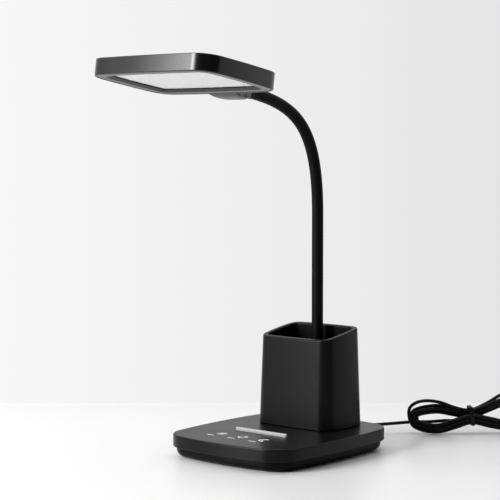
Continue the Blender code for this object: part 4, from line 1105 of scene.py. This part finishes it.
@dataclass(frozen=True)
class Stroke:
    """One printed line of a key sign, flat on the base's top."""

    points: list[Vector]
    closed: bool = False

    @staticmethod
    def arc(radius: float, start: float, end: float, middle: Pair = (0.0, 0.0)) -> list[Vector]:
        """Return an arc's points between two angles in degrees."""
        parts = max(LEAST_ARC_PARTS, int(abs(end - start) / ARC_STEP))
        angles = [math.radians(start + (end - start) * part / parts) for part in range(parts + 1)]
        return [Vector((middle[0] + radius * math.cos(angle), middle[1] + radius * math.sin(angle)))
                for angle in angles]

    def make(self, name: str, width: float, height: float) -> Object:
        """Make the line as a thin closed plate: a straight strip, laid along the points.

        Args:
            name: The plate's name.
            width: The line's width.
            height: The line's thickness.

        Returns:
            The new object.
        """
        half = width / 2
        section = ((half, 0.0), (half, height), (-half, height), (-half, 0.0))
        rings = [[Vector((across, up, index)) for across, up in section] for index in range(len(self.points))]
        plate = loft(name, rings, self.closed)

        def along_line(point: Vector) -> Vector:
            """Return where a point of the straight strip lies on the printed line."""
            index = round(point.z)
            last = len(self.points) - 1
            before = self.points[index - 1 if index or self.closed else 0]
            after = self.points[(index + 1) % len(self.points) if self.closed else min(index + 1, last)]
            heading = (after - before).normalized()
            spot = self.points[index] + Vector((-heading.y, heading.x)) * point.x
            return Vector((spot.x, spot.y, point.y))

        put_points(plate, along_line)
        return settle(plate)


@dataclass(frozen=True)
class KeySigns:
    """The three generic key signs, each beside a plain dash. Shares are of the signs' radius."""

    places: Pairs = ((-0.0270, -0.0510), (-0.0015, -0.0515), (0.0240, -0.0520))
    radius: float = 0.0036
    line: float = 0.00100
    height: float = 0.00003
    lift: float = 0.00001
    dash: Pairs = ((-0.0095, -0.0105), (-0.0010, -0.0105))
    sun_share: float = 0.50
    rays: int = 8
    ray_shares: Pair = (0.95, 1.40)
    open_ring_share: float = 1.2
    open_ring_angles: Pair = (125, 415)
    bar_shares: Pair = (0.45, 1.5)
    outer_share: float = 1.25
    outer_angles: Pair = (60, 300)
    inner_share: float = 1.14
    inner_angles: Pair = (288, 72)
    inner_shift_share: float = 0.78

    def make(self, top: float) -> list[Object]:
        """Make the sun, the on-off sign and the crescent.

        Args:
            top: The height of the surface that they are printed on.

        Returns:
            The three signs.
        """
        signs = []
        dash = Stroke([Vector(spot) for spot in self.dash])
        kinds = (("sign_sun", self.sun()), ("sign_on_off", self.on_off()), ("sign_crescent", self.crescent()))
        for (name, strokes), (x, y) in zip(kinds, self.places):
            plates = [stroke.make(f"{name}_{number}", self.line, self.height)
                      for number, stroke in enumerate([*strokes, dash])]
            sign = join(name, plates)
            sign.data.transform(Matrix.Translation((x, y, top + self.lift)))
            signs.append(sign)
        return signs

    def sun(self) -> list[Stroke]:
        """Return the sun's strokes: a ring and its rays."""
        strokes = [Stroke(Stroke.arc(self.radius * self.sun_share, 0, 360)[:-1], closed=True)]
        for ray in range(self.rays):
            angle = FULL_TURN * ray / self.rays
            heading = Vector((math.cos(angle), math.sin(angle)))
            strokes.append(Stroke([heading * self.radius * share for share in self.ray_shares]))
        return strokes

    def on_off(self) -> list[Stroke]:
        """Return the on-off sign's strokes: an open ring and a bar."""
        return [Stroke(Stroke.arc(self.radius * self.open_ring_share, *self.open_ring_angles)),
                Stroke([Vector((0.0, self.radius * share)) for share in self.bar_shares])]

    def crescent(self) -> list[Stroke]:
        """Return the crescent's one closed stroke, along its outer and then its inner side."""
        outer = Stroke.arc(self.radius * self.outer_share, *self.outer_angles)
        inner = Stroke.arc(self.radius * self.inner_share, *self.inner_angles,
                           (self.radius * self.inner_shift_share, 0.0))
        return [Stroke([*outer, *inner[1:-1]], closed=True)]


@dataclass
class Base:
    """The weighted base: upper shell, tray, pad, phone stop bar, key signs and what is inside."""

    width: float = 0.150
    depth: float = 0.180
    corner: float = 0.027
    bulge: float = 0.004
    height: float = BASE_TOP
    shell_height: float = 0.0115
    shell_edge: float = 0.0012
    shell_foot_edge: float = 0.0004
    wall: float = 0.0022
    tray_inset: float = 0.0034
    tray_edge: float = 0.0060
    tray_lap: float = 0.0003
    tray_shoulder: Pair = (0.0004, 0.0016)
    pad_proud: float = 0.0007
    bar_length: float = 0.0610
    bar_width: float = 0.0032
    bar_proud: float = 0.0030
    bar_sink: float = 0.0009
    bar_edge: float = 0.0015
    bar_y: float = -0.0270
    bar_end_parts: int = 16
    signs: KeySigns = field(default_factory=KeySigns)

    @property
    def outline(self) -> Outline:
        """Return the base's outline."""
        return Outline(self.width, self.depth, self.corner, self.bulge)

    def build(self, finishes: Finishes) -> None:
        """Make and dress every piece of the base."""
        finishes.fit_out(self.make_shell(), Body.BASE, Look.BASE_PLASTIC, Slot.SHELL, "base_top_shell")
        finishes.fit_out(self.make_tray(), Body.BASE, Look.TRAY_PLASTIC, Slot.PLAIN, "base_tray")
        finishes.fit_out(self.make_bar(), Body.BASE, Look.SILVER_BAR, Slot.SILVER, "phone_stop_bar")
        for sign in self.signs.make(self.height):
            # The signs' finish carries painted light: a glow that brightens the print
            finishes.fit_out(sign, Body.BASE, Look.KEY_PRINT, Slot.SILVER)
        names = list(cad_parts)
        finishes.dress_nodes(Look.SCREW_STEEL, *(name for name in names if "screw" in name), "neck_nut")
        finishes.dress_nodes(Look.CAST_BALLAST, "ballast_plate")
        finishes.dress_nodes(Look.SOFT_RUBBER, "non_slip_pad")
        finishes.dress_nodes(Look.BOARD_MASK, "touch_board", "light_strip_left", "light_strip_right")
        finishes.dress_nodes(Look.SENSING_COPPER, *(name for name in names if name.startswith("touch_pad")))

    def make_shell(self) -> Object:
        """Make the upper shell with its softened top edge and open underside."""
        bottom = self.height - self.shell_height
        foot = self.shell_foot_edge
        steps: Steps = [(self.wall, self.height - self.wall), (self.wall, bottom), (foot, bottom),
                        (0.0, bottom + foot)]
        steps += [(inset, self.height - drop) for inset, drop in round_edge(self.shell_edge, parts=6)]
        return settle(self.outline.solid("base_shell", steps), angle=35.0)

    def make_tray(self) -> Object:
        """Make the tray below, with a round lower edge."""
        inset, rise = self.tray_shoulder
        top = self.height - self.shell_height + self.tray_lap
        steps: Steps = [(self.tray_inset + side, self.pad_proud + up)
                        for up, side in round_edge(self.tray_edge, parts=8)]
        steps += [(self.tray_inset, top), (self.tray_inset + inset, top + rise)]
        return settle(self.outline.solid("base_tray_body", steps), angle=35.0)

    def make_bar(self) -> Object:
        """Make the raised bar with round ends and a round top."""
        half = self.bar_width / 2
        run = self.bar_length / 2 - half

        def ring(inset: float, z: float) -> Ring:
            """Return the bar's outline, further in and at a height."""
            points = []
            for end in (1, -1):
                for step in range(self.bar_end_parts + 1):
                    angle = math.pi * (step / self.bar_end_parts - 0.5)
                    points.append(Vector((end * (run + (half - inset) * math.cos(angle)),
                                          end * (half - inset) * math.sin(angle), z)))
            return points

        rings = [ring(0.0, -self.bar_sink)]
        rings += [ring(inset, self.bar_proud - drop) for inset, drop in round_edge(self.bar_edge, parts=7)]
        return settle(loft("stop_bar", rings), Matrix.Translation((0.0, self.bar_y, self.height)), angle=40.0)


# Pen cup


@dataclass
class PenCup:
    """The tapered pen cup, higher at the back."""

    width: float = 0.0908
    depth: float = 0.0632
    corner: float = 0.0141
    bulge: float = 0.0010
    middle_y: float = 0.0454
    bottom: float = BASE_TOP + GAP
    floor_top: float = CUP_FLOOR
    front_height: float = 0.0838
    back_height: float = 0.0943
    taper: float = 0.0032
    wall: float = 0.0050
    edge: float = 0.0014
    foot_edge: float = 0.0006
    floor_edge: float = 0.0024
    outer_parts: int = 8
    inner_parts: int = 6

    def build(self, finishes: Finishes) -> None:
        """Make and dress the cup."""
        finishes.fit_out(self.make_cup(), Body.BASE, Look.CUP_PLASTIC, Slot.SHELL, "pen_cup")

    def make_cup(self) -> Object:
        """Make the cup's walls, rim and floor in one loft from the foot over the rim to the inside."""
        slope = (self.back_height - self.front_height) / self.depth
        rim = BASE_TOP + (self.back_height + self.front_height) / 2
        inside = self.taper + self.wall
        low = self.floor_top + self.floor_edge
        steps: Steps = [(self.foot_edge, self.bottom), (0.0, self.bottom + self.foot_edge)]
        for part in range(1, self.outer_parts):
            share = part / self.outer_parts
            height = self.bottom + (rim - self.edge - self.bottom) * share
            steps.append((self.taper * share, height, slope * share))
        steps += [(self.taper + inset, rim - drop, slope) for inset, drop in round_edge(self.edge, parts=6)]
        steps += [(inside - inset, rim - drop, slope) for drop, inset in round_edge(self.edge, parts=6)]
        for part in range(1, self.inner_parts):
            share = 1 - part / self.inner_parts
            height = low + (rim - self.edge - low) * share
            steps.append((self.wall + self.taper * share, height, slope * share))
        steps += [(self.wall + inset, self.floor_top + rise)
                  for inset, rise in round_edge(self.floor_edge, parts=4)]
        cup = Outline(self.width, self.depth, self.corner, self.bulge).solid("pen_cup_body", steps)
        return settle(cup, Matrix.Translation((0.0, self.middle_y, 0.0)), angle=40.0)


# Neck


@dataclass
class Neck:
    """The bendable neck: its foot, the sleeve across every hinge and the collar at the head.

    The foot's profile is in radius and height above the cup's floor. The collar's ends are in how far they
    are inside its radius and its length.
    """

    radius: float = 0.0055
    y: float = 0.0567
    bend_start_z: float = 0.2201
    first_hinge_z: float = 0.137
    end: Place = NECK_END
    lower_handle: float = 0.0881
    upper_handle: float = 0.0701
    collar_length: float = 0.0060
    collar_radius: float = 0.0061
    collar_foot: Pairs = ((0.0007, 0.0), (0.0002, 0.0003), (0.0, 0.0008))
    collar_top: Pairs = ((0.0, 0.0003), (0.0003, 0.0))
    lengths: int = 8
    root_bottom: float = 0.0352
    foot_profile: Pairs = (
        (0.0056, 0.0100), (0.0056, 0.0190), (0.0062, 0.0194), (0.0070, 0.0194), (0.0074, 0.0188),
        (0.0074, 0.0036), (0.0084, 0.0030), (0.0090, 0.0022), (0.0090, 0.0002), (0.0037, 0.0002),
        (0.0037, -0.0136), (0.0020, -0.0136), (0.0020, 0.0094))
    ring_step: float = 0.0022
    sleeve_sides: int = 32
    turned_sides: int = 40
    curve_steps: int = 400
    look_ahead: float = 0.0005
    blend_reach: float = 0.0130

    def build(self, finishes: Finishes) -> None:
        """Make and dress the foot, the sleeve pieces and the collar."""
        finishes.fit_out(self.make_foot(), Body.BASE, Look.SOFT_RUBBER, Slot.PLAIN, "neck_ferrule")
        run = self.distances[-1] - self.collar_length
        pitch = run / self.lengths
        straight = self.first_hinge_z - self.root_bottom
        for number in range(1, self.lengths + 1):
            start = -straight if number == 1 else (number - 1.5) * pitch
            end = run if number == self.lengths else (number - 0.5) * pitch
            piece = self.make_sleeve(f"neck_sleeve_{number}", start, end)
            hinge = (number - 1) * pitch
            tuple(self.at(hinge - self.blend_reach))
            tuple(self.at(hinge + self.blend_reach))
            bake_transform(piece)
            nodes = [f"neck_length_{number}"] + (["neck_root"] if number == 1 else [])
            finishes.dress(piece, Look.NECK_SLEEVE, Slot.PLAIN, *nodes)
        collar = self.make_collar(self.at(run))
        finishes.fit_out(collar, Body.HEAD, Look.SOFT_RUBBER, Slot.PLAIN, "neck_collar")

    @cached_property
    def samples(self) -> list[Vector]:
        """Return close points along the neck's middle from the first hinge to the head's tongue."""
        start = Vector((0.0, self.y, self.bend_start_z))
        end = Vector(self.end)
        lower = start + Vector((0.0, 0.0, self.lower_handle))
        upper = end + Vector((0.0, math.cos(HEAD_TILT), math.sin(HEAD_TILT))) * self.upper_handle
        points = [Vector((0.0, self.y, self.first_hinge_z))]
        for step in range(self.curve_steps + 1):
            share = step / self.curve_steps
            rest = 1 - share
            points.append(rest ** 3 * start + 3 * rest ** 2 * share * lower + 3 * rest * share ** 2 * upper
                          + share ** 3 * end)
        return points

    @cached_property
    def distances(self) -> list[float]:
        """Return how far along the neck each of the points is."""
        passed = [0.0]
        for first, second in zip(self.samples, self.samples[1:]):
            passed.append(passed[-1] + (second - first).length)
        return passed

    def at(self, distance: float) -> Vector:
        """Find a point of the neck's middle line.

        Args:
            distance: How far it is from the first hinge, negative below it.

        Returns:
            The point.
        """
        if distance <= 0:
            return self.samples[0] + Vector((0.0, 0.0, distance))
        index = min(bisect_right(self.distances, distance), len(self.samples) - 1)
        before, after = self.distances[index - 1], self.distances[index]
        return self.samples[index - 1].lerp(self.samples[index], (distance - before) / (after - before))

    def make_sleeve(self, name: str, start: float, end: float) -> Object:
        """Make one smooth stretch of the sleeve: a straight tube, laid along the neck.

        Args:
            name: The piece's name.
            start: Where the stretch starts, as a distance from the first hinge.
            end: Where it ends.

        Returns:
            The new object.
        """
        parts = max(2, round((end - start) / self.ring_step))
        piece = loft(name, [circle_ring(self.radius, start + (end - start) * part / parts, self.sleeve_sides)
                            for part in range(parts + 1)])
        side = Vector((1.0, 0.0, 0.0))

        def along_neck(point: Vector) -> Vector:
            """Return where a point of the straight tube lies on the bent one."""
            direction = (self.at(point.z + self.look_ahead) - self.at(point.z - self.look_ahead)).normalized()
            return self.at(point.z) + side * point.x + direction.cross(side) * point.y

        put_points(piece, along_neck)
        return settle(piece, angle=60.0)

    def make_foot(self) -> Object:
        """Make the neck's foot in the cup: flange, collar and socket."""
        profile = [(radius, CUP_FLOOR + rise) for radius, rise in self.foot_profile]
        foot = turned("neck_foot", profile, self.turned_sides, closed=True)
        return settle(foot, Matrix.Translation((0.0, self.y, 0.0)), angle=35.0)

    def make_collar(self, start: Vector) -> Object:
        """Make the collar that closes the sleeve against the tongue.

        Args:
            start: The middle of the sleeve's upper end.

        Returns:
            The finished collar.
        """
        direction = Vector(self.end) - start
        top = direction.length - GAP
        profile = [(self.collar_radius - inset, GAP + inside) for inset, inside in self.collar_foot]
        profile += [(self.collar_radius - inset, top - inside) for inset, inside in self.collar_top]
        tilt = Matrix.Rotation(math.atan2(-direction.y, direction.z), 4, "X")
        return settle(turned("neck_end_collar", profile, self.turned_sides), Matrix.Translation(start) @ tilt,
                      angle=35.0)


# Head


@dataclass
class Head:
    """The flat light head: cover, rim, tongue and the light panel.

    The rim's profile lies between the cover's wall and the panel. The tongue's values are those at its
    stations, which are shares of its run towards the neck.
    """

    width: float = 0.1420
    depth: float = 0.1012
    corner: float = 0.0185
    bulge: float = 0.0012
    thickness: float = 0.0151
    neck_axis_height: float = 0.0083
    wall: float = 0.0020
    edge: float = 0.0008
    lower_edge: float = 0.0011
    inner_edge: float = 0.0002
    rim_bottom: float = 0.0003
    rim_side: float = 0.0012
    rim_edge: float = 0.0003
    rim_crease: Pair = (0.0004, 0.0001)
    rim_flat: float = 0.0075
    rim_slope: float = 0.0045
    rim_depth: float = 0.0019
    rim_lip: Pair = (0.0003, 0.0002)
    rim_top: float = 0.0029
    rim_shoulder: Pair = (0.0010, 0.0018)
    tongue_run: float = 0.0331
    tongue_parts: int = 24
    tongue_sides: int = 56
    tongue_shares: Values = (0.0, 0.20, 0.48, 0.76, 1.0)
    tongue_half_widths: Values = (0.0180, 0.0165, 0.0124, 0.0082, 0.0059)
    tongue_bottoms: Values = (0.0002, -0.0016, -0.0022, -0.0008, 0.0023)
    tongue_tops: Values = (0.0128, 0.0132, 0.0138, 0.0142, 0.0144)
    tongue_squareness: Values = (9.0, 8.0, 7.0, 6.0, 5.0)

    @property
    def outline(self) -> Outline:
        """Return the head's outline."""
        return Outline(self.width, self.depth, self.corner, self.bulge)

    @property
    def matrix(self) -> Matrix:
        """Return the head's place."""
        turn = Matrix.Rotation(HEAD_TILT, 4, "X")
        to_neck = turn @ Vector((0.0, self.depth / 2 + GAP + self.tongue_run, self.neck_axis_height))
        return Matrix.Translation(Vector(NECK_END) - to_neck) @ turn

    def build(self, finishes: Finishes) -> None:
        """Make and dress every piece of the head."""
        finishes.fit_out(self.make_cover(), Body.HEAD, Look.HEAD_PLASTIC, Slot.SHELL, "head_back_cover")
        finishes.fit_out(self.make_rim(), Body.HEAD, Look.RIM_PLASTIC, Slot.SHELL, "head_rim")
        finishes.fit_out(self.make_tongue(), Body.HEAD, Look.HEAD_PLASTIC, Slot.SHELL, "head_bracket")
        # The panel's finish carries painted light: a faint glow that brightens it
        finishes.dress_nodes(Look.PANEL_DIFFUSER, "diffuser")
        finishes.dress_nodes(Look.GUIDE_ACRYLIC, "light_guide")
        finishes.dress_nodes(Look.REFLECTOR_FILM, "reflector_sheet")
        finishes.dress_nodes(Look.ROLLED_ALUMINIUM, "heat_spreader")

    def make_cover(self) -> Object:
        """Make the black cover: top and side walls, open below."""
        steps: Steps = [(self.wall, self.thickness - self.wall), (self.wall, self.inner_edge),
                        (self.wall - self.inner_edge, 0.0)]
        steps += [(inset, rise) for rise, inset in round_edge(self.lower_edge, parts=5)]
        steps += [(inset, self.thickness - drop) for inset, drop in round_edge(self.edge, parts=5)]
        return settle(self.outline.solid("head_cover", steps), self.matrix, angle=35.0)

    def make_rim(self) -> Object:
        """Make the rim: a flat border and a slope in to the panel."""
        low = self.rim_bottom
        outer = self.wall + GAP
        slope_start = outer + self.rim_flat
        inner = slope_start + self.rim_slope
        panel = low + self.rim_depth
        steps: Steps = [
            (outer, low + self.rim_side), (outer, low + self.rim_edge), (outer + self.rim_edge, low),
            (slope_start - self.rim_crease[0], low), (slope_start, low + self.rim_crease[1]),
            (inner - self.rim_lip[0], panel - self.rim_lip[1]), (inner, panel), (inner, self.rim_top),
            (slope_start, self.rim_top), (outer + self.rim_shoulder[0], low + self.rim_shoulder[1]),
        ]
        return settle(self.outline.solid("head_frame", steps, closed=True), self.matrix, angle=20.0)

    def make_tongue(self) -> Object:
        """Make the smooth tongue from the neck's round end to the head's rear wall."""
        rings = [self.tongue_ring(part / self.tongue_parts) for part in range(self.tongue_parts + 1)]
        stand = Matrix(((1, 0, 0, 0), (0, 0, 1, self.depth / 2 + GAP), (0, 1, 0, 0), (0, 0, 0, 1)))
        return settle(loft("head_tongue", rings), self.matrix @ stand, angle=50.0)

    def tongue_ring(self, share: float) -> Ring:
        """Draw the tongue's outline, which is between an ellipse and a box.

        Args:
            share: How far along its run the outline is, from 0 to 1.

        Returns:
            The outline's points.
        """
        rows = (self.tongue_half_widths, self.tongue_bottoms, self.tongue_tops, self.tongue_squareness)
        half_width, low, high, squareness = (self.between(share, row) for row in rows)
        ring = []
        for step in range(self.tongue_sides):
            angle = FULL_TURN * step / self.tongue_sides
            cos, sin = math.cos(angle), math.sin(angle)
            across = math.copysign(abs(cos) ** (2 / squareness), cos)
            rise = math.copysign(abs(sin) ** (2 / squareness), sin)
            ring.append(Vector((half_width * across, (low + high) / 2 + (high - low) / 2 * rise,
                                self.tongue_run * share)))
        return ring

    def between(self, share: float, values: Values) -> float:
        """Work out a smooth value between the tongue's stations.

        Args:
            share: How far along the tongue's run the value is, from 0 to 1.
            values: The values at the stations.

        Returns:
            The value.
        """
        shares = self.tongue_shares
        index = max(spot for spot in range(len(shares) - 1) if share >= shares[spot])
        run = shares[index + 1] - shares[index]
        local = (share - shares[index]) / run

        def slope(spot: int) -> float:
            """Return how fast the values change at a station."""
            low, high = max(spot - 1, 0), min(spot + 1, len(shares) - 1)
            return (values[high] - values[low]) / (shares[high] - shares[low]) * run

        first, second = values[index], values[index + 1]
        start, end = slope(index), slope(index + 1)
        return (first * (1 + 2 * local) * (1 - local) ** 2 + start * local * (1 - local) ** 2
                + second * local ** 2 * (3 - 2 * local) + end * local ** 2 * (local - 1))


def main() -> None:
    """Build the camera, the cord, then the lamp from the base up, and the room."""
    PhotoCamera().build()
    finishes = Finishes()
    PowerCord().build(finishes)
    Base().build(finishes)
    PenCup().build(finishes)
    Neck().build(finishes)
    Head().build(finishes)
    Studio().build()


if __name__ == "__main__":
    main()
